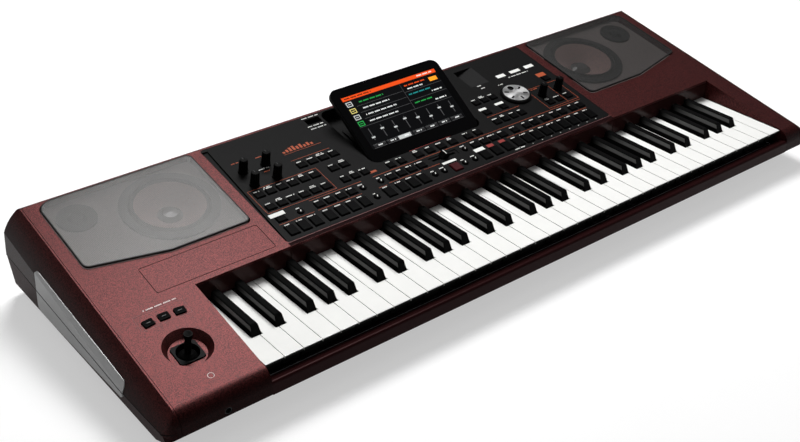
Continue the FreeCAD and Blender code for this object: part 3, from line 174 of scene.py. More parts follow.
# Screen text: across, up, width, colour
SCREEN_TEXT = (
    (-52, 314.9, 44, "dark"), (58, 314.9, 26, "white"),
    (-36, 305.4, 40, "green"), (-34, 295.4, 44, "white"),
    (-32, 285.4, 50, "white"), (-34, 275.4, 46, "white"),
    (36, 306.6, 34, "orange"), (33, 301.2, 28, "white"),
    (36, 292.6, 36, "teal"), (62, 287.6, 18, "white"),
    (34, 278.6, 32, "green"), (60, 274.2, 20, "white"),
)
TEXT_SCALE = 1.2
TAB_COUNT = 7
TAB_PITCH = 21.2
TAB_WIDTH = 19.6
TAB_RISE = (236.6, 242.8)
TAB_TEXT = (239.8, 9.0)
FADER_SHARES = (0.2, 0.75, 0.45, 0.9, 0.6, 0.3, 0.8, 0.5)
FADER_START = -66.0
FADER_PITCH = 19.0
FADER_RISE = (248.0, 266.0)
FADER_TRAVEL = 15.0
FADER_SLOT = 1.0
FADER_CAP = (5.2, 2.2)

# Nodes that each finish is on
CASE_FINISHES = {
    "lacquer": ("top_cover", "left_cheek", "right_cheek"),
    "under": ("bottom_case",),
    "gloss_lacquer": ("fallboard",),
    "slip": ("keyslip",),
    "silver": ("side_trims",),
    "rubber": ("rubber_feet",),
    "steel": ("key_frame", "key_rod"),
    "felt": ("key_felts",),
    "panel": ("control_panel", "rear_panel", "joystick_base", "display_shell"),
    "cone": ("woofer_cones",),
    "basket": ("woofer_baskets", "tweeters"),
    "socket": ("phones_socket", "rear_sockets", "mains_inlet", "power_rocker"),
    "board": ("circuit_boards",),
}
KEY_FINISHES = {
    "white_key": ["key_" + note for note in ("c", "d", "e", "f", "g", "a", "b", "top_c")],
    "black_key": [f"key_{note}_sharp" for note in "cdfga"],
}
BUTTON_GROUPS = ("style", "accompaniment", "mode", "player", "sets", "sound", "round")
BUTTONS = ["buttons_" + group for group in BUTTON_GROUPS]
SWITCHES = [f"switch_{number}" for number in range(1, 4)]
KNOBS = [f"knob_{number}" for number in range(1, 7)]
CONTROL_FINISHES = {
    "button": BUTTONS,
    "switch": SWITCHES,
    "knob": KNOBS + ["balance_slider", "joystick_stick", "joystick_gimbal", "data_dial"],
}
GRILLES = ("left_grille", "right_grille")
# Nodes that have a seam on their skin, and its slot
SEAMS = {"left_cheek": "shell", "right_cheek": "shell", "side_trims": "silver"}
# How much a face on the outer skin looks outwards
SKIN_FACING = 0.3

# How each finish takes light, where the last entries may be left out
Surface = namedtuple("Surface", "grain roughness gloss spread relief metal", defaults=(0.15, 0.0, 0.0))
SURFACES = {
    "lacquer": (1300, 0.4, 0.13, 0.62, 0.12, 0.5),
    "under": (1300, 0.55, 0.03, 0.3, 0.1, 0.2),
    "gloss_lacquer": (900, 0.18, 0.08, 0.12, 0.0, 0.1),
    "slip": (900, 0.36, 0.03, 0.15, 0.0, 0.2),
    "lip": (900, 0.55, 0.01),
    "seam": (700, 0.7, 0.05),
    "silver": (1800, 0.48, 0.2, 0.08, 0.05, 0.5),
    "rubber": (600, 0.85, 0.3, 0.15, 0.3),
    "steel": (500, 0.38, 0.3, 0.08, 0.0, 1.0),
    "nut_steel": (700, 0.32, 0.3, 0.06, 0.0, 1.0),
    "felt": (2500, 0.95, 0.1, 0.3, 0.8),
    "panel": (2200, 0.46, 0.025, 0.25, 0.18),
    "baffle": (700, 0.8, 0.1, 0.2, 0.2),
    "cone": (1500, 0.75, 0.2, 0.25, 0.3),
    "surround": (900, 0.55, 0.2),
    "dust_cap": (900, 0.07, 0.3, 0.1),
    "basket": (900, 0.5, 0.1),
    "mesh": (700, 0.4, 0.3, 0.08, 0.0, 0.85),
    "grille_rim": (700, 0.5, 0.1, 0.08),
    "socket": (900, 0.42, 0.2),
    "board": (300, 0.4, 0.3, 0.25),
    "white_key": (60, 0.16, 0.35, 0.02),
    "key_body": (900, 0.4, 0.1, 0.1),
    "black_key": (900, 0.26, 0.02, 0.15, 0.04),
    "black_side": (1800, 0.35, 0.05, 0.2, 0.05),
    "button": (1600, 0.48, 0.012, 0.2, 0.06),
    "switch": (1600, 0.48, 0.008, 0.2, 0.06),
    "start": (1600, 0.4, 0.05, 0.2, 0.06),
    "knob": (1600, 0.38, 0.015, 0.2, 0.05),
    "spun_silver": (400, 0.33, 0.3, 0.06, 0.0, 1.0),
    "glass": (200, 0.07, 0.1, 0.1),
    "screen": (300, 0.3, 0.05, 0.05),
    "white_ink": (900, 0.5, 0.1, 0.06),
    "orange_ink": (900, 0.5, 0.1, 0.08),
    "red_ink": (900, 0.5, 0.1, 0.08),
    "outline": (900, 0.5, 0.1, 0.08),
    "pointer": (900, 0.45, 0.3, 0.06),
    "dial_dash": (900, 0.5, 0.01, 0.1),
    "fine_dash": (900, 0.5, 0.1, 0.1),
    "knob_pointer": (900, 0.5, 0.02, 0.1),
    "floor": (3, 0.8, 0.0, 0.01),
}
# Finishes whose grain is flakes
FLAKED = ("lacquer", "under")
TONE_STOPS = (0.25, 0.75)
ROUGHNESS_SHARES = (0.88, 1.12)

# Box and depths that hold the groove round the bare plate
PLATE_GROOVE = (-429.0, 143.5, -277.0, 188.0)
GROOVE_DEPTHS = (-2.0, -0.05)
# How far out the cheeks' joint with the cover is, and how near its faces lie
JOINT = 490.6
JOINT_REACH = 2.0
# Depth of the speakers' boards, and a cone's rolled edge and cap as shares of its radius
WELL_DEPTH = -3.0
ROLL = (0.875, 1.05)
CAP = 0.315
# Thickness of a white key's plate, below which the key is painted in shade
KEY_PLATE = 3.3
# Painted shade on the lacquer, in metres: it darkens over the nose and at both ends, each from the edge
# inwards, where the upright faces would be in shade
FRONT_PAINTED_SHADE = (-0.1880, -0.1760)
END_PAINTED_SHADE = (0.5115, 0.4930)
PAINTED_SHADE_LEVEL = 0.24
# Painted sheen on the sides of a black key, in metres: where it starts and is full below its top, and
# forwards
PAINTED_SHEEN_DROP = (0.0068, 0.0050)
PAINTED_SHEEN_BACK = (-0.046, -0.085)
PAINTED_SHEEN_LEVEL = 0.02
# Grilles: corners this near are one, and the rim rises by this share of its bevel
CORNER_STEP = 1.2
RIM_RISE = 1 / 3
# A nut's depth in the back, and its crown as shares of its radius and height
NUT_FOOT = -3.0
CROWN_SLOPE = 0.08
CROWN_RISE = 0.1
CROWN_LAND = 0.18
# Studio floor: border as a share of its side, and how far off and how much whiter it gets
FLOOR_BORDER = 0.1
WHITE_REACH = 3
WHITE_RISE = 2


def colour(name, description, *channels):
    """Colour of three channels, or grey of one."""
    default = channels if len(channels) == 3 else channels * 3
    return FloatVectorProperty(
        name=name, description=description, default=default, subtype="COLOR", min=0.0, max=1.0,
    )


def length(name, description, default):
    return FloatProperty(name=name, description=description, default=default, unit="LENGTH", min=0.0)


def amount(name, description, default):
    return FloatProperty(name=name, description=description, default=default, min=0.0)


class ArrangerColours(PropertyGroup):
    lacquer: colour("Lacquer", "Metallic lacquer of the case", 0.052, 0.0106, 0.0104)
    gloss_lacquer: colour("Gloss lacquer", "Board behind the keys", 0.034, 0.012, 0.0112)
    # Painted shade: dark sheet over the strip before the panel
    lip: colour("Lip", "Strip before the panel", 0.012, 0.0042, 0.0044)
    silver: colour("Silver", "Side trims", 0.32)
    spun_silver: colour("Dial", "Turned face of the dial", 0.19)
    rubber: colour("Rubber", "Feet", 0.016)
    steel: colour("Steel", "Key frame, rod and nuts", 0.5, 0.5, 0.51)
    felt: colour("Felt", "Key stops", 0.012, 0.01, 0.01)
    panel: colour("Panel", "Control panel and dark mouldings", 0.0066)
    under: colour("Under", "Lower half of the case", 0.017, 0.0046, 0.0049)
    slip: colour("Slip", "Rail below the fronts of the keys", 0.017, 0.0042, 0.0045)
    seam: colour("Seam", "Shadow lines of the case's joints", 0.004, 0.003, 0.003)
    baffle: colour("Baffle", "Boards that carry the speakers", 0.145, 0.122, 0.118)
    surround: colour("Surround", "Rolled edges of the speakers", 0.01, 0.011, 0.011)
    dust_cap: colour("Cap", "Dust caps of the speakers", 0.06, 0.056, 0.054)
    cone: colour("Cone", "Speaker cones", 0.21, 0.136, 0.126)
    basket: colour("Basket", "Speaker baskets", 0.016)
    socket: colour("Socket", "Sockets and rocker", 0.016, 0.016, 0.017)
    board: colour("Board", "Circuit boards", 0.022, 0.11, 0.045)
    mesh: colour("Mesh", "Speaker grilles", 0.067, 0.066, 0.065)
    grille_rim: colour("Rim", "Edges of the speaker grilles", 0.022, 0.021, 0.021)
    white_key: colour("White key", "White keys", 0.83, 0.83, 0.81)
    # Painted shade: dark on the white keys' fronts and below their plates, standing in for the shade under
    # the plates
    key_body: colour("Key body", "White keys below their plates", 0.008)
    # Painted sheen: a lighter band high on the black keys' sides, standing in for their highlight
    black_side: colour("Black side", "Sheen on the black keys' sides", 0.112, 0.112, 0.11)
    black_key: colour("Black key", "Black keys", 0.0034)
    button: colour("Button", "Panel buttons", 0.0024, 0.0024, 0.0025)
    switch: colour("Switch", "Switches beside the stick", 0.0022, 0.0022, 0.0023)
    start: colour("Start", "Start button", 0.04, 0.004, 0.006)
    knob: colour("Knob", "Knobs, slider and stick", 0.0038)
    glass: colour("Glass", "Display glass", 0.002, 0.002, 0.0022)
    white_ink: colour("White ink", "Printed labels", 0.72, 0.72, 0.7)
    orange_ink: colour("Orange ink", "Printed rules", 0.34, 0.069, 0.026)
    red_ink: colour("Red ink", "Printed red plates", 0.24, 0.034, 0.03)
    screen_dark: colour("Screen dark", "Screen ground", 0.0016, 0.0017, 0.002)
    screen_grey: colour("Screen grey", "Screen tabs and rules", 0.05, 0.05, 0.052)
    screen_bright: colour("Screen bright", "Screen pictures and the chosen tab", 0.32, 0.33, 0.33)
    screen_white: colour("Screen white", "Screen text", 0.5, 0.51, 0.51)
    screen_orange: colour("Screen orange", "Screen header", 0.46, 0.044, 0.006)
    screen_tag: colour("Screen tag", "Screen tag", 0.65, 0.21, 0.012)
    screen_teal: colour("Screen teal", "Screen text", 0.012, 0.17, 0.17)
    screen_green: colour("Screen green", "Screen text", 0.014, 0.21, 0.042)
    screen_yellow: colour("Screen yellow", "Screen picture", 0.4, 0.35, 0.11)
    fine_dash: colour("Dash", "Fine marks on the switches", 0.16)
    knob_pointer: colour("Pointer", "Pointers on the knobs", 0.045)
    # Also draws a painted highlight along the far edge of the strip before the panel
    outline: colour("Outline", "Fine outline printed on the lacquer", 0.17, 0.085, 0.085)
    floor: colour("Floor", "Studio floor as it is seen", 0.5)
    bounce: colour("Bounce", "Studio floor as it lights the object", 0.2)


class ArrangerSizes(PropertyGroup):
    ink_height: length("Ink height", "Rise of print off its surface", 0.00012)
    line_width: length("Line width", "Width of a printed rule", 0.00048)
    label_height: length("Label height", "Height of a label's marks", 0.0015)
    label_gap: length("Label gap", "From a button to its label", 0.0014)
    mark_width: length("Mark width", "Width of one mark in a label", 0.0013)
    mark_gap: length("Mark gap", "Gap between a label's marks", 0.0004)
    mesh_pitch: length("Mesh pitch", "Pitch of the grille's holes", 0.0016)
    mesh_bar: length("Mesh bar", "Width of the bars between holes", 0.00055)
    rim_width: length("Rim width", "Width of the grille's plain rim", 0.0007)
    rim_bevel: length("Rim bevel", "Bevel of the grille's rim", 0.0006)
    seam_width: length("Seam width", "Width of the case's side seams", 0.0012)
    ring_radius: length("Ring radius", "Ring above the phones socket", 0.0036)
    tile_height: length("Tile height", "Rise of screen tiles off the glass", 0.00006)
    nut_across: length("Nut across", "Width across a socket's nut", 0.0130)
    nut_height: length("Nut height", "Height of a socket's nut", 0.0018)
    screen_glow: amount("Screen glow", "Strength of the screen's light", 1.0)
    nut_sides: IntProperty(name="Nut sides", description="Sides of a socket's nut", default=6, min=3)


class ArrangerStudio(PropertyGroup):
    camera_place: FloatVectorProperty(
        name="Camera place", description="Where the camera stands", subtype="TRANSLATION", unit="LENGTH",
        default=(-0.85295415, -0.98229528, 0.79140836),
    )
    camera_turn: FloatVectorProperty(
        name="Camera turn", description="How the camera is turned", subtype="EULER", unit="ROTATION",
        default=(1.02473128, -0.00198593, -0.66876665),
    )
    lens: FloatProperty(name="Lens", description="Focal length in millimetres", default=52.309, min=1.0)
    floor_side: length("Floor side", "Side of the studio floor", 40.0)
    white_start: length("White start", "How far off the floor's own white begins to rise", 1.0)
    key_power: amount("Key power", "Power of the large light behind", 51.0)
    fill_power: amount("Fill power", "Power of the light before the keys", 5.0)
    room_level: amount("Room level", "Level of the room's light overhead", 0.08)
    horizon_height: FloatProperty(
        name="Horizon height", description="How high the room's white band reaches", subtype="ANGLE",
        default=math.radians(9.0), min=0.0,
    )
    floor_glow: amount("Floor glow", "Share of the floor's white that needs no light", 1.0)


def slope_matrix():
    """From millimetres on the sloped top to metres in the shared frame."""
    return Matrix.Translation(SLOPE_FOOT) @ Matrix.Rotation(SLOPE_ANGLE, 4, "X") @ TO_METRES


def display_matrix():
    """From millimetres on the folded display to metres in the shared frame, display raised."""
    hinge = Matrix.Translation(DISPLAY_HINGE)
    return slope_matrix() @ hinge @ Matrix.Rotation(DISPLAY_TILT, 4, "X") @ hinge.inverted()


def back_matrix():
    """From millimetres on the leaning back, across, up and outwards, to metres in the shared frame."""
    turn = Matrix.Rotation(math.pi, 4, "Z") @ Matrix.Rotation(math.pi / 2 - BACK_LEAN, 4, "X")
    return Matrix.Translation(BACK_FOOT) @ turn @ TO_METRES


# Object and mesh helpers
def link(piece):
    bpy.context.scene.collection.objects.link(piece)


def focus(*objects):
    bpy.ops.object.select_all(action="DESELECT")
    for piece in objects:
        piece.select_set(True)
    bpy.context.view_layer.objects.active = objects[0]


def edit(piece):
    focus(piece)
    bpy.ops.object.mode_set(mode="EDIT")
    bpy.ops.mesh.select_mode(type="FACE")
    bpy.ops.mesh.select_all(action="SELECT")


def leave():
    bpy.ops.mesh.select_all(action="SELECT")
    bpy.ops.mesh.normals_make_consistent(inside=False)
    bpy.ops.object.mode_set(mode="OBJECT")


def raise_faces(height):
    bpy.ops.mesh.extrude_region_move(TRANSFORM_OT_translate={"value": (0.0, 0.0, height)})


def cut_off(spot, outwards):
    """Cut away, in edit mode, what lies beyond a plane."""
    bpy.ops.mesh.select_all(action="SELECT")
    bpy.ops.mesh.bisect(plane_co=spot, plane_no=outwards, clear_outer=True)


def delete_faces(piece, test):
    """Delete, in edit mode, the faces that pass the test."""
    mesh = bmesh.from_edit_mesh(piece.data)
    for face in mesh.faces:
        face.select_set(test(face))
    mesh.select_flush_mode()
    bmesh.update_edit_mesh(piece.data)
    bpy.ops.mesh.delete(type="FACE")


def place(piece, matrix):
    """Put a finished piece where it belongs, with its place in its mesh."""
    focus(piece)
    piece.matrix_world = matrix
    bpy.ops.object.transform_apply()


def coat(piece, material):
    piece.data.materials.clear()
    piece.data.materials.append(material)


def wear(piece, name, material, body):
    piece.name = name
    piece.data.name = name
    coat(piece, material)
    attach(piece, body)


def model_plate():
    """Thin plate of unit size, standing on its back, with a drawn-in face."""
    bpy.ops.mesh.primitive_plane_add(size=1.0)
    plate = bpy.context.object
    edit(plate)
    raise_faces(1.0)
    bpy.ops.transform.resize(value=(PLATE_DRAW, PLATE_DRAW, 1.0))
    leave()
    return plate


def stamp(pattern, matrices):
    """Copies of a modelled pattern at many places, joined in place of the pattern."""
    copies = []
    for matrix in matrices:
        copy = pattern.copy()
        copy.data = pattern.data.copy()
        link(copy)
        copy.matrix_world = matrix
        copies.append(copy)
    bpy.data.objects.remove(pattern)
    bpy.context.view_layer.update()
    focus(*copies)
    if len(copies) > 1:
        bpy.ops.object.join()
    bpy.ops.object.transform_apply()
    return bpy.context.view_layer.objects.active


def plate_matrix(base, left, low, right, high, foot, height):
    middle = Matrix.Translation(((left + right) / 2, (low + high) / 2, foot))
    return base @ middle @ Matrix.Diagonal((right - left, high - low, height, 1.0))


def label_matrices(base, across, up, width, foot, tall, height):
    """Short marks in words, in place of a label's letters."""
    sizes = bpy.context.scene.arranger_sizes
    mark = sizes.mark_width * MM
    step = mark + sizes.mark_gap * MM
    count = max(1, int(width / step))
    first = across - count * step / 2
    matrices = []
    for index in range(count):
        if count < SHORT_MARKS or (index + int(abs(across))) % WORD_MARKS != WORD_GAP:
            left = first + index * step
            matrices.append(plate_matrix(base, left, up, left + mark, up + tall, foot, height))
    return matrices


def extent(points):
    """Least and greatest corner of a group of points."""
    axes = list(zip(*points))
    return Vector([min(values) for values in axes]), Vector([max(values) for values in axes])


def flat_points(node):
    """Corners of a CAD node, in millimetres on the slope."""
    flat = slope_matrix().inverted()
    return [flat @ vertex.co for vertex in NODES[node].data.vertices]


def islands(node):
    """Middle, size and top, on the slope, of each loose solid in a CAD node."""
    mesh = bmesh.new()
    mesh.from_mesh(NODES[node].data)
    bmesh.ops.remove_doubles(mesh, verts=mesh.verts, dist=MERGE_REACH)
    flat = slope_matrix().inverted()
    seen = set()
    found = []
    for first in mesh.verts:
        if first in seen:
            continue
        seen.add(first)
        group = [first]
        for vertex in group:
            for edge in vertex.link_edges:
                other = edge.other_vert(vertex)
                if other not in seen:
                    seen.add(other)
                    group.append(other)
        low, high = extent([flat @ vertex.co for vertex in group])
        found.append(((low + high) / 2, high - low, high.z))
    mesh.free()
    return sorted(found, key=lambda island: (round(island[0].y), island[0].x))


# Materials
def add_node(tree, kind, *places, operation="", **names):
    """New shader node whose inputs, by place or by name with _ for a space, get a link or a value."""
    node = tree.nodes.new("ShaderNode" + kind)
    if operation:
        node.operation = operation
    entries = list(enumerate(places)) + [(name.replace("_", " "), entry) for name, entry in names.items()]
    for socket, entry in entries:
        if isinstance(entry, NodeSocket):
            tree.links.new(entry, node.inputs[socket])
        else:
            node.inputs[socket].default_value = entry
    return node


def finish(name, surface="", tint="", glow=0.0):
    """Surface whose tone, sheen and relief follow a fine grain in object space."""
    grain, roughness, gloss, spread, relief, metal = Surface(*SURFACES[surface or name])
    channels = getattr(bpy.context.scene.arranger_colours, tint or name)
    material = bpy.data.materials.new(name)
    material.use_nodes = True
    tree = material.node_tree
    shader = tree.nodes["Principled BSDF"].inputs
    shader["Metallic"].default_value = metal
    shader["Specular IOR Level"].default_value = gloss
    spot = add_node(tree, "TexCoord").outputs["Object"]
    if name in FLAKED:
        value = add_node(tree, "TexVoronoi", Vector=spot, Scale=grain).outputs["Color"]
    else:
        value = add_node(tree, "TexNoise", Vector=spot, Scale=grain, Detail=4.0).outputs["Fac"]
    tone = add_node(tree, "ValToRGB", Fac=value)
    for stop, position, share in zip(tone.color_ramp.elements, TONE_STOPS, (1 - spread, 1 + spread)):
        stop.position = position
        stop.color = [min(1.0, channel * share) for channel in channels] + [1.0]
    least, most = [min(1.0, roughness * share) for share in ROUGHNESS_SHARES]
    sheen = add_node(tree, "MapRange", Value=value, To_Min=least, To_Max=most)
    feeds = {"Base Color": tone.outputs["Color"], "Roughness": sheen.outputs["Result"]}
    if relief:
        bump = add_node(tree, "Bump", Height=value, Strength=relief, Distance=0.0002)
        feeds["Normal"] = bump.outputs["Normal"]
    if glow:
        feeds["Emission Color"] = tone.outputs["Color"]
        shader["Emission Strength"].default_value = glow
    for entry, feed in feeds.items():
        tree.links.new(feed, shader[entry])
    return material


def paint_shade_falloff(material, level, **ways):
    """Paint shade into a finish's colour, metal and gloss: darker to a level, by axis, from an edge to its
    full tone inside. X is from the middle.
    """
    tree = material.node_tree
    shader = tree.nodes["Principled BSDF"].inputs
    parts = add_node(tree, "SeparateXYZ", add_node(tree, "TexCoord").outputs["Object"]).outputs
    outwards = add_node(tree, "Math", parts["X"], operation="ABSOLUTE").outputs["Value"]
    shares = []
    for axis, (edge, inside) in ways.items():
        way = outwards if axis == "X" else parts[axis]
        span = add_node(tree, "MapRange", Value=way, From_Min=edge, From_Max=inside, To_Min=level)
        shares.append(span.outputs["Result"])
    darker = add_node(tree, "Math", *shares, operation="MINIMUM").outputs["Value"]
    tone = shader["Base Color"].links[0].from_socket
    scaled = add_node(tree, "VectorMath", Vector=tone, Scale=darker, operation="SCALE")
    tree.links.new(scaled.outputs["Vector"], shader["Base Color"])
    for name in ("Metallic", "Specular IOR Level"):
        share = add_node(tree, "Math", darker, shader[name].default_value, operation="MULTIPLY")
        tree.links.new(share.outputs["Value"], shader[name])


def spun_finish(center):
    """Turned metal with fine rings about its own middle."""
    material = finish("spun_silver")
    tree = material.node_tree
    spot = add_node(tree, "TexCoord").outputs["Object"]
    shift = add_node(tree, "Mapping", Vector=spot, Location=center, Rotation=(SLOPE_ANGLE, 0.0, 0.0))
    shift.vector_type = "TEXTURE"
    rings = add_node(tree, "TexWave", Vector=shift.outputs["Vector"], Scale=900.0, Distortion=0.6)
    rings.wave_type = "RINGS"
    rings.rings_direction = "Z"
    relief = add_node(tree, "Bump", Height=rings.outputs["Fac"], Strength=0.5, Distance=0.00008)
    tree.links.new(relief.outputs["Normal"], tree.nodes["Principled BSDF"].inputs["Normal"])
    return material


def split_rays(tree, output, lighting, seen):
    """Show one shader to camera, glossy and transmission rays, and another to the rays that light."""
    path = add_node(tree, "LightPath").outputs
    total = path["Is Camera Ray"]
    for ray in ("Is Glossy Ray", "Is Transmission Ray"):
        both = add_node(tree, "Math", total, path[ray])
        both.use_clamp = True
        total = both.outputs["Value"]
    blend = add_node(tree, "MixShader", total, lighting, seen)
    tree.links.new(blend.outputs["Shader"], tree.nodes[output].inputs["Surface"])


def dress(finishes):
    """Coat the CAD nodes that stand under each finish and shade them smooth."""
    for name, nodes in finishes.items():
        material = finish(name)
        for node in nodes:
            coat(NODES[node], material)
            focus(NODES[node])
            bpy.ops.object.shade_smooth_by_angle(angle=SMOOTH_ANGLE)


def paint(name, material, test, base=None):
    """Give a second finish to the faces of a CAD node whose middle and normal pass the test."""
    mesh = NODES[name].data
    mesh.materials.append(material)
    flat = (base or slope_matrix()).inverted()
    for face in mesh.polygons:
        if test(flat @ face.center, (flat.to_3x3() @ face.normal).normalized()):
            face.material_index = len(mesh.materials) - 1


def paint_wells(board):
    """Below the grilles the cover shows bare boards."""
    for node in GRILLES:
        low, high = extent(flat_points(node))

        def in_well(spot, normal):
            return low.x < spot.x < high.x and low.y < spot.y < high.y and spot.z < WELL_DEPTH

        paint("top_cover", board, in_well)


def paint_cones(surround, cap):
    """Rubber on the rolled edges, a sheen on the dust caps."""
    for middle, size, top in islands("woofer_cones"):
        start, end, cap_end = [size.x / 2 * share for share in (*ROLL, CAP)]
        paint("woofer_cones", surround, lambda spot, normal: start < (spot.xy - middle.xy).length < end)
        paint("woofer_cones", cap, lambda spot, normal: (spot.xy - middle.xy).length < cap_end)


def paint_joints(dark):
    """Dark faces in the plate's groove and between the cover and the cheeks."""
    left, low, right, high = PLATE_GROOVE
    floor, top = GROOVE_DEPTHS

    def in_groove(spot, normal):
        return floor < spot.z < top and left < spot.x < right and low < spot.y < high

    def in_gap(spot, normal):
        return abs(normal.x) > FACING and abs(abs(spot.x) - JOINT) < JOINT_REACH

    paint("top_cover", dark, in_groove)
    for node in CASE_FINISHES["lacquer"]:
        paint(node, dark, in_gap)


class ARRANGER_OT_finish_case(Operator):
    """Lacquer the case with painted shade over its nose and ends, and finish its fittings"""

    bl_idname = "arranger.finish_case"
    bl_label = "Finish Case"

    def execute(self, context):
        dress(CASE_FINISHES)
        # Painted shade: the lacquer darkens towards the front nose and both ends
        paint_shade_falloff(NODES["top_cover"].data.materials[0], PAINTED_SHADE_LEVEL, Y=FRONT_PAINTED_SHADE, X=END_PAINTED_SHADE)
        paint_wells(finish("baffle"))
        paint_cones(finish("surround"), finish("dust_cap"))
        paint_joints(finish("seam"))
        return {"FINISHED"}


def key_top(node):
    return max(corner[2] for corner in NODES[node].bound_box)


class ARRANGER_OT_finish_keys(Operator):
    """Give the white and black keys their plastics, with painted shade on the white keys' fronts and a
    painted sheen high on the black keys' sides
    """

    bl_idname = "arranger.finish_keys"
    bl_label = "Finish Keys"

    def execute(self, context):
        dress(KEY_FINISHES)
        # Painted shade: the white keys' front faces and all below their plates are made dark
        body = finish("key_body")
        for node in KEY_FINISHES["white_key"]:
            foot = key_top(node) * MM - KEY_PLATE
            paint(node, body, lambda spot, normal: normal.y < -FACING or spot.z < foot, TO_METRES)
        # Painted sheen high on the black keys' sides, darkening downwards and towards the back
        painted_sheen = finish("black_side")
        top = key_top(KEY_FINISHES["black_key"][0])
        paint_shade_falloff(painted_sheen, PAINTED_SHEEN_LEVEL, Z=[top - drop for drop in PAINTED_SHEEN_DROP], Y=PAINTED_SHEEN_BACK)
        for node in KEY_FINISHES["black_key"]:
            paint(node, painted_sheen, lambda spot, normal: abs(normal.x) > FACING, TO_METRES)
        return {"FINISHED"}


def paint_start(start):
    """The start button is the one that isn't round."""
    middle = max(islands("buttons_round"), key=lambda island: island[1].x)[0]
    paint("buttons_round", start, lambda spot, normal: (spot.xy - middle.xy).length < START_REACH)


def paint_dial():
    """Turned metal on the dial's face, black on its rim and dimple."""
    middle, size, top = islands("data_dial")[0]
    reach = size.x / 2 * DIAL_FACE

    def on_face(spot, normal):
        return (spot.xy - middle.xy).length < reach and abs(spot.z - top) < LEVEL_REACH

    center = slope_matrix() @ Vector((middle.x, middle.y, top))
    paint("data_dial", spun_finish(center), on_face)


class ARRANGER_OT_finish_controls(Operator):
    """Finish buttons, knobs, dial, stick and display"""

    bl_idname = "arranger.finish_controls"
    bl_label = "Finish Controls"

    def execute(self, context):
        dress(CONTROL_FINISHES)
        coat(NODES["display_face"], finish("glass"))
        paint_start(finish("start"))
        paint_dial()
        return {"FINISHED"}


def grille_outline(node):
    """A grille's outer corners, and its height, on the slope."""
    points = flat_points(node)
    corners = [points[index].xy for index in convex_hull_2d([point.xy for point in points])]
    kept = []
    for corner in corners:
        if not kept or min((corner - kept[0]).length, (corner - kept[-1]).length) > CORNER_STEP:
            kept.append(corner)
    return kept, max(point.z for point in points)


def model_rim(outline, top, sizes):
    """Raised border: the outline filled, raised, drawn in and opened."""
    bevel = sizes.rim_bevel * MM
    bpy.ops.mesh.primitive_circle_add(vertices=len(outline), radius=1.0)
    rim = bpy.context.object
    for vertex, corner in zip(rim.data.vertices, outline):
        vertex.co = (corner.x, corner.y, 0.0)
    edit(rim)
    bpy.ops.mesh.edge_face_add()
    raise_faces(top)
    bpy.ops.mesh.inset(thickness=bevel)
    bpy.ops.transform.translate(value=(0.0, 0.0, bevel * RIM_RISE))
    bpy.ops.mesh.inset(thickness=sizes.rim_width * MM)
    raise_faces(-bevel)
    bpy.ops.mesh.delete(type="FACE")

    def on_back(face):
        return face.normal.z < -FACING and abs(face.calc_center_median().z) < LEVEL_REACH

    delete_faces(rim, on_back)
    leave()
    return rim


def model_sheet(outline, top, sizes):
    """Grid of holes, cut to the outline inside the rim."""
    pitch = sizes.mesh_pitch * MM
    low, high = extent(outline)
    middle = (low + high) / 2
    columns = int((high.x - low.x) / pitch)
    rows = int((high.y - low.y) / pitch)
    bpy.ops.mesh.primitive_grid_add(x_subdivisions=columns, y_subdivisions=rows, size=1.0)
    sheet = bpy.context.object
    edit(sheet)
    bpy.ops.transform.resize(value=(columns * pitch, rows * pitch, 1.0))
    bpy.ops.transform.translate(value=(middle.x, middle.y, top - sizes.rim_bevel * MM / 2))
    bpy.ops.mesh.inset(thickness=sizes.mesh_bar * MM / 2, use_individual=True)
    bpy.ops.mesh.delete(type="FACE")
    inset = sizes.rim_width * MM / 2
    for index, corner in enumerate(outline):
        run = (outline[(index + 1) % len(outline)] - corner).normalized()
        outwards = Vector((run.y, -run.x))
        if outwards.dot(corner - middle) < 0:
            outwards = -outwards
        cut_off((corner - outwards * inset).to_3d(), outwards.to_3d())
    leave()
    return sheet


class ARRANGER_OT_build_grilles(Operator):
    """Perforated sheets with rims in place of the plain grilles"""

    bl_idname = "arranger.build_grilles"
    bl_label = "Build Grilles"

    def execute(self, context):
        sizes = context.scene.arranger_sizes
        mesh = finish("mesh")
        edge = finish("grille_rim")
        for node in GRILLES:
            outline, top = grille_outline(node)
            rim = model_rim(outline, top, sizes)
            sheet = model_sheet(outline, top, sizes)
            for piece, part, metal in ((rim, "rim", edge), (sheet, "sheet", mesh)):
                place(piece, slope_matrix())
                wear(piece, node + "_" + part, metal, "case")
            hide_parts(node)
        return {"FINISHED"}


def model_strip(node, sizes):
    """Band of a node's outer skin on the seam, raised by the height of ink."""
    strip = bpy.data.objects.new("strip", NODES[node].data.copy())
    link(strip)
    upwards = Vector((0.0, -math.sin(SEAM_ANGLE), math.cos(SEAM_ANGLE)))
    edit(strip)
    bpy.ops.mesh.remove_doubles(threshold=MERGE_REACH)
    for way in (-upwards, upwards):
        cut_off(Vector(SEAM_FOOT) + way * sizes.seam_width / 2, way)

    def looks_in(face):
        return face.normal.x * math.copysign(1, face.calc_center_median().x) < SKIN_FACING

    delete_faces(strip, looks_in)
    bpy.ops.mesh.select_all(action="SELECT")
    bpy.ops.mesh.extrude_region_shrink_fatten(TRANSFORM_OT_shrink_fatten={"value": sizes.ink_height})
    leave()
    return strip


class ARRANGER_OT_draw_seams(Operator):
    """Dark seam between the case's halves, along both ends and over the trims"""

    bl_idname = "arranger.draw_seams"
    bl_label = "Draw Seams"

    def execute(self, context):
        dark = finish("seam_line", "seam", "seam")
        for node, slot in SEAMS.items():
            strip = model_strip(node, context.scene.arranger_sizes)
            wear(strip, node + "_seam", dark, "case")
        return {"FINISHED"}


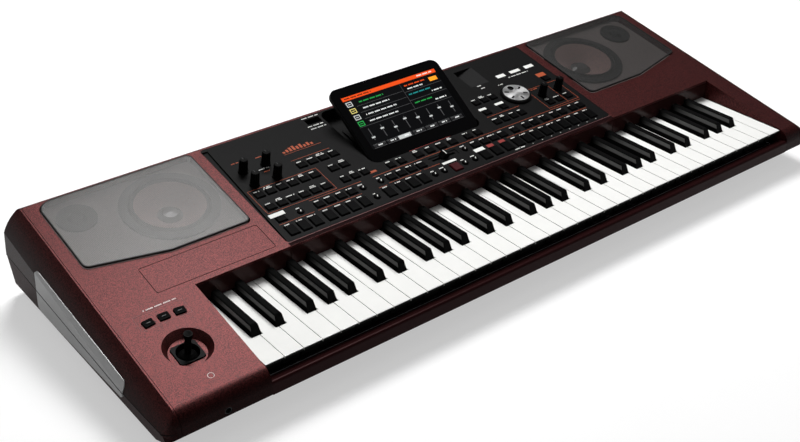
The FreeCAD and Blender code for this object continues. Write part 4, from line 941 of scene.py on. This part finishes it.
def model_ring(sizes):
    """Flat printed ring: a disc raised, drawn in and opened."""
    bpy.ops.mesh.primitive_circle_add(
        vertices=RING_SIDES, radius=sizes.ring_radius * MM, fill_type="NGON",
    )
    ring = bpy.context.object
    edit(ring)
    raise_faces(sizes.ink_height * MM)
    bpy.ops.mesh.inset(thickness=sizes.line_width * MM)
    bpy.ops.mesh.delete(type="FACE")
    delete_faces(ring, lambda face: len(face.verts) == RING_SIDES)
    leave()
    return ring


def level_bars(base, tall):
    """Upright bars of rising and falling height."""
    bars = []
    for index, share in enumerate(BAR_SHARES):
        left = BAR_START + index * BAR_PITCH
        bar = (left, BAR_FOOT, left + BAR_WIDTH, BAR_FOOT + BAR_TALLEST * share)
        bars.append(plate_matrix(base, *bar, 0.0, tall))
    return bars


def has_plate(across, up):
    """Whether a printed plate takes a label's place."""
    return any(
        left < across < right and low < up + LABEL_ROOM and up < high
        for plates in PLATES.values() for left, low, right, high in plates
    )


def button_labels(base, text, gap, tall):
    """A label behind each button that has no plate there, and dots before some set buttons."""
    matrices = []
    for node in BUTTONS:
        for index, (middle, size, top) in enumerate(islands(node)):
            up = middle.y + size.y / 2 + gap
            if has_plate(middle.x, up):
                continue
            wide = size.x * WIDTH_SHARES[index % len(WIDTH_SHARES)]
            matrices += label_matrices(base, middle.x, up, wide, 0.0, text, tall)
            if index % SECOND_EVERY == 1 and middle.y > SECOND_FROM:
                up += text * SECOND_RISE
                wide *= SECOND_WIDTH
                matrices += label_matrices(base, middle.x, up, wide, 0.0, text, tall)
    up, wide, high = DOT
    for middle, size, top in islands("buttons_sets"):
        if middle.x > DOTS_FROM:
            matrices += label_matrices(base, middle.x, up, wide, 0.0, high, tall)
    return matrices


class ARRANGER_OT_print_panel(Operator):
    """Print the rules, plates and labels of the panel, and lay a dark sheet of painted shade on the strip
    before it
    """

    bl_idname = "arranger.print_panel"
    bl_label = "Print Panel"

    def execute(self, context):
        sizes = context.scene.arranger_sizes
        base = slope_matrix()
        tall = sizes.ink_height * MM
        text = sizes.label_height * MM
        half = sizes.line_width * MM / 2
        marks = defaultdict(list)
        for ink, lines in LINES.items():
            for left, low, right, high in lines:
                line = (left - half, low - half, right + half, high + half)
                marks[ink].append(plate_matrix(base, *line, 0.0, tall))
        for ink, plates in PLATES.items():
            marks[ink] += [plate_matrix(base, *plate, 0.0, tall) for plate in plates]
        marks["orange_ink"] += level_bars(base, tall)
        for ink, labels in LABELS.items():
            for label in labels:
                marks[ink] += label_matrices(base, *label, 0.0, text, tall)
        marks["white_ink"] += button_labels(base, text, sizes.label_gap * MM, tall)
        inks = {ink: finish(ink) for ink in marks}
        for ink, matrices in marks.items():
            wear(stamp(model_plate(), matrices), "print_" + ink, inks[ink], "case")
        # Painted shade: a dark sheet over the strip before the panel
        lip = stamp(model_plate(), [plate_matrix(base, *PAINTED_SHADE_LIP_BOX, 0.0, tall)])
        wear(lip, "lip_strip", finish("lip"), "case")
        ring = model_ring(sizes)
        place(ring, base @ Matrix.Translation((*PHONES_RING, 0.0)))
        wear(ring, "phones_ring", inks["white_ink"], "case")
        return {"FINISHED"}


def mark(name, ink, node, slot, spots, size, turns=(0.0,), shift=0.0):
    """Marks on a control's solids: turned about a solid's middle, then shifted along themselves."""
    tall = bpy.context.scene.arranger_sizes.ink_height * MM
    shape = Matrix.Translation((0.0, shift, 0.0)) @ Matrix.Diagonal((*size, tall, 1.0))
    matrices = []
    for middle, reach, top in spots:
        spot = slope_matrix() @ Matrix.Translation((middle.x, middle.y, top))
        matrices += [spot @ Matrix.Rotation(turn, 4, "Z") @ shape for turn in turns]
    wear(stamp(model_plate(), matrices), name, ink, node)


class ARRANGER_OT_mark_controls(Operator):
    """Pointers on knobs, round buttons, slider, dial and switches"""

    bl_idname = "arranger.mark_controls"
    bl_label = "Mark Controls"

    def execute(self, context):
        white = finish("pointer", tint="white_ink")
        grey_dash = finish("fine_dash")
        dim = finish("knob_pointer")
        for node in KNOBS:
            mark(node + "_pointer", dim, node, "knob", islands(node)[:1], POINTER_SIZE, shift=POINTER_SHIFT)
        for node in SWITCHES:
            mark(node + "_mark", grey_dash, node, "button", islands(node)[:1], SWITCH_MARK)
        rounds = [island for island in islands("buttons_round") if island[1].x < START_REACH]
        mark("round_ticks", white, "buttons_round", "button", rounds, TICK_SIZE, (TICK_TURN,))
        mark("slider_line", white, "balance_slider", "knob", islands("balance_slider")[:1], SLIDER_LINE)
        # Dashes round the dial's face, clear of the dimple
        dial = islands("data_dial")[:1]
        shift = dial[0][1].x / 2 * DASH_REACH
        dark = finish("dial_dash", tint="knob")
        mark("dial_dashes", dark, "data_dial", "silver", dial, DASH_SIZE, DASH_TURNS, shift)
        return {"FINISHED"}


def picture_bars(base, up, tall):
    """Square ring of four bars with a bar across."""
    left, right = PICTURE_SIDES
    inner = PICTURE_HALF - PICTURE_BAR
    bars = (
        (left, up - PICTURE_HALF, right, up - inner),
        (left, up + inner, right, up + PICTURE_HALF),
        (left, up - inner, left + PICTURE_BAR, up + inner),
        (right - PICTURE_BAR, up - inner, right, up + inner),
        (left + inner, up - PICTURE_CROSS / 2, right - inner, up + PICTURE_CROSS / 2),
    )
    return [plate_matrix(base, *bar, tall, tall) for bar in bars]


class ARRANGER_OT_light_screen(Operator):
    """Tiles and text of a plain screen layout on the display"""

    bl_idname = "arranger.light_screen"
    bl_label = "Light Screen"

    def execute(self, context):
        sizes = context.scene.arranger_sizes
        tall = sizes.tile_height * MM
        text = sizes.label_height * MM * TEXT_SCALE
        base = display_matrix() @ Matrix.Translation((0.0, 0.0, GLASS_TOP))
        tiles = defaultdict(list)
        for *box, tint in SCREEN_TILES:
            tiles[tint].append(plate_matrix(base, *box, 0.0 if tint == "dark" else tall, tall))
        for up, tint in SCREEN_PICTURES:
            tiles[tint] += picture_bars(base, up, tall)
        words = list(SCREEN_TEXT)
        low, high = TAB_RISE
        for index in range(TAB_COUNT):
            across = (index - (TAB_COUNT - 1) / 2) * TAB_PITCH
            tab = (across - TAB_WIDTH / 2, low, across + TAB_WIDTH / 2, high)
            tiles["grey"].append(plate_matrix(base, *tab, tall / 2, tall / 2))
            words.append((across, *TAB_TEXT, "white"))
        for across, up, wide, tint in words:
            tiles[tint + "_text"] += label_matrices(base, across, up - text / 2, wide, 2 * tall, text, tall)
        low, high = FADER_RISE
        wide, deep = FADER_CAP
        for index, share in enumerate(FADER_SHARES):
            across = FADER_START + index * FADER_PITCH
            slot = (across - FADER_SLOT / 2, low, across + FADER_SLOT / 2, high)
            tiles["grey"].append(plate_matrix(base, *slot, tall, tall))
            up = low + FADER_TRAVEL * share
            cap = (across - wide / 2, up, across + wide / 2, up + deep)
            tiles["bright"].append(plate_matrix(base, *cap, 2 * tall, tall))
        for tint, matrices in tiles.items():
            name = "screen_" + tint
            light = finish(name, "screen", name.replace("_text", ""), sizes.screen_glow)
            wear(stamp(model_plate(), matrices), name, light, "display")
        return {"FINISHED"}


def model_nut(sizes):
    """Flat nut with a bevelled crown, open in the middle."""
    reach = sizes.nut_across * MM / 2 / math.cos(math.pi / sizes.nut_sides)
    height = sizes.nut_height * MM
    bpy.ops.mesh.primitive_circle_add(vertices=sizes.nut_sides * 2, radius=reach, fill_type="NGON")
    nut = bpy.context.object
    edit(nut)
    raise_faces(height)
    bpy.ops.mesh.inset(thickness=reach * CROWN_SLOPE)
    bpy.ops.transform.translate(value=(0.0, 0.0, height * CROWN_RISE))
    bpy.ops.mesh.inset(thickness=reach * CROWN_LAND)
    bpy.ops.mesh.delete(type="FACE")
    leave()
    return nut


class ARRANGER_OT_fit_back(Operator):
    """Nuts on the jacks at the back"""

    bl_idname = "arranger.fit_back"
    bl_label = "Fit Back"

    def execute(self, context):
        base = back_matrix()
        matrices = []
        for mount in frame["record"]["mounts"]:
            if mount["name"].startswith("rear_jack"):
                spot = base.inverted() @ Vector(mount["pos_m"])
                matrices.append(base @ Matrix.Translation((spot.x, spot.y, NUT_FOOT)))
        nuts = stamp(model_nut(context.scene.arranger_sizes), matrices)
        wear(nuts, "jack_nuts", finish("nut_steel", tint="steel"), "case")
        return {"FINISHED"}


def lay_floor(studio, bounce):
    """Pale where it is seen, whiter far off, darker where it would light from below."""
    bpy.ops.mesh.primitive_grid_add(x_subdivisions=2, y_subdivisions=2, size=studio.floor_side)
    floor = bpy.context.object
    floor.name = "floor"
    edit(floor)
    bpy.ops.mesh.inset(thickness=studio.floor_side * FLOOR_BORDER)
    leave()
    start, level = studio.white_start, studio.floor_glow
    material = finish("floor", glow=level)
    tree = material.node_tree
    pale = tree.nodes["Principled BSDF"]
    spot = add_node(tree, "TexCoord").outputs["Object"]
    away = add_node(tree, "VectorMath", spot, operation="LENGTH").outputs["Value"]
    glow = add_node(
        tree, "MapRange", Value=away, From_Min=start, From_Max=start * WHITE_REACH,
        To_Min=level, To_Max=level * WHITE_RISE,
    )
    tree.links.new(glow.outputs["Result"], pale.inputs["Emission Strength"])
    dark = add_node(tree, "BsdfDiffuse", Color=(*bounce, 1.0))
    split_rays(tree, "Material Output", dark.outputs["BSDF"], pale.outputs["BSDF"])
    floor.data.materials.append(material)


def light_room(studio):
    """White round the horizon where it is seen, dim overhead and as a light."""
    world = bpy.data.worlds.new("room")
    world.use_nodes = True
    tree = world.node_tree
    room = tree.nodes["Background"]
    parts = add_node(tree, "SeparateXYZ", add_node(tree, "TexCoord").outputs["Generated"]).outputs
    tone = add_node(tree, "ValToRGB", Fac=parts["Z"])
    low, high = tone.color_ramp.elements
    low.position = math.sin(studio.horizon_height)
    low.color = (1.0, 1.0, 1.0, 1.0)
    high.position = math.sin(studio.horizon_height * 2)
    high.color = (studio.room_level, studio.room_level, studio.room_level, 1.0)
    tree.links.new(tone.outputs["Color"], room.inputs["Color"])
    dim = add_node(tree, "Background", Color=high.color)
    split_rays(tree, "World Output", dim.outputs["Background"], room.outputs["Background"])
    bpy.context.scene.world = world


def add_light(name, power, size, spot, aim):
    light = bpy.data.lights.new(name, "AREA")
    light.shape = "RECTANGLE"
    light.size, light.size_y = size
    light.energy = power
    lamp = bpy.data.objects.new(name, light)
    lamp.location = spot
    lamp.rotation_euler = (Vector(aim) - Vector(spot)).to_track_quat("-Z", "Y").to_euler()
    link(lamp)


class ARRANGER_OT_set_studio(Operator):
    """Floor, lights and camera"""

    bl_idname = "arranger.set_studio"
    bl_label = "Set Studio"

    def execute(self, context):
        studio = context.scene.arranger_studio
        lay_floor(studio, context.scene.arranger_colours.bounce)
        light_room(studio)
        add_light(
            "key_light", studio.key_power, size=(1.0, 0.8), spot=(0.35, 0.68, 1.82), aim=(-0.25, 0.0, 0.08),
        )
        add_light(
            "fill_light", studio.fill_power, size=(2.0, 1.4), spot=(-0.9, -0.8, 2.3), aim=(0.0, 0.0, 0.05),
        )
        camera = bpy.data.cameras.new("camera")
        camera.lens = studio.lens
        camera.sensor_width = 36.0
        camera.clip_start = 0.01
        view = bpy.data.objects.new("camera", camera)
        view.location = studio.camera_place
        view.rotation_euler = Euler(studio.camera_turn)
        link(view)
        context.scene.camera = view
        context.scene.view_settings.view_transform = "Standard"
        return {"FINISHED"}


OPERATORS = (
    ARRANGER_OT_finish_case,
    ARRANGER_OT_finish_keys,
    ARRANGER_OT_finish_controls,
    ARRANGER_OT_build_grilles,
    ARRANGER_OT_draw_seams,
    ARRANGER_OT_print_panel,
    ARRANGER_OT_mark_controls,
    ARRANGER_OT_light_screen,
    ARRANGER_OT_fit_back,
    ARRANGER_OT_set_studio,
)


class ARRANGER_PT_looks(Panel):
    """Lists the steps that dress the keyboard"""

    bl_label = "Arranger"
    bl_idname = "ARRANGER_PT_looks"
    bl_space_type = "VIEW_3D"
    bl_region_type = "UI"
    bl_category = "Arranger"

    def draw(self, context):
        for operator in OPERATORS:
            self.layout.operator(operator.bl_idname)


CLASSES = (ArrangerColours, ArrangerSizes, ArrangerStudio) + OPERATORS + (ARRANGER_PT_looks,)


def register():
    for entry in CLASSES:
        bpy.utils.register_class(entry)
    bpy.types.Scene.arranger_colours = PointerProperty(type=ArrangerColours)
    bpy.types.Scene.arranger_sizes = PointerProperty(type=ArrangerSizes)
    bpy.types.Scene.arranger_studio = PointerProperty(type=ArrangerStudio)


def unregister():
    del bpy.types.Scene.arranger_studio
    del bpy.types.Scene.arranger_sizes
    del bpy.types.Scene.arranger_colours
    for entry in reversed(CLASSES):
        bpy.utils.unregister_class(entry)


def main():
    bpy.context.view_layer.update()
    register()
    bpy.ops.arranger.finish_case()
    bpy.ops.arranger.finish_keys()
    bpy.ops.arranger.finish_controls()
    bpy.ops.arranger.build_grilles()
    bpy.ops.arranger.draw_seams()
    bpy.ops.arranger.print_panel()
    bpy.ops.arranger.mark_controls()
    bpy.ops.arranger.light_screen()
    bpy.ops.arranger.fit_back()
    bpy.ops.arranger.set_studio()


if __name__ == "__main__":
    main()
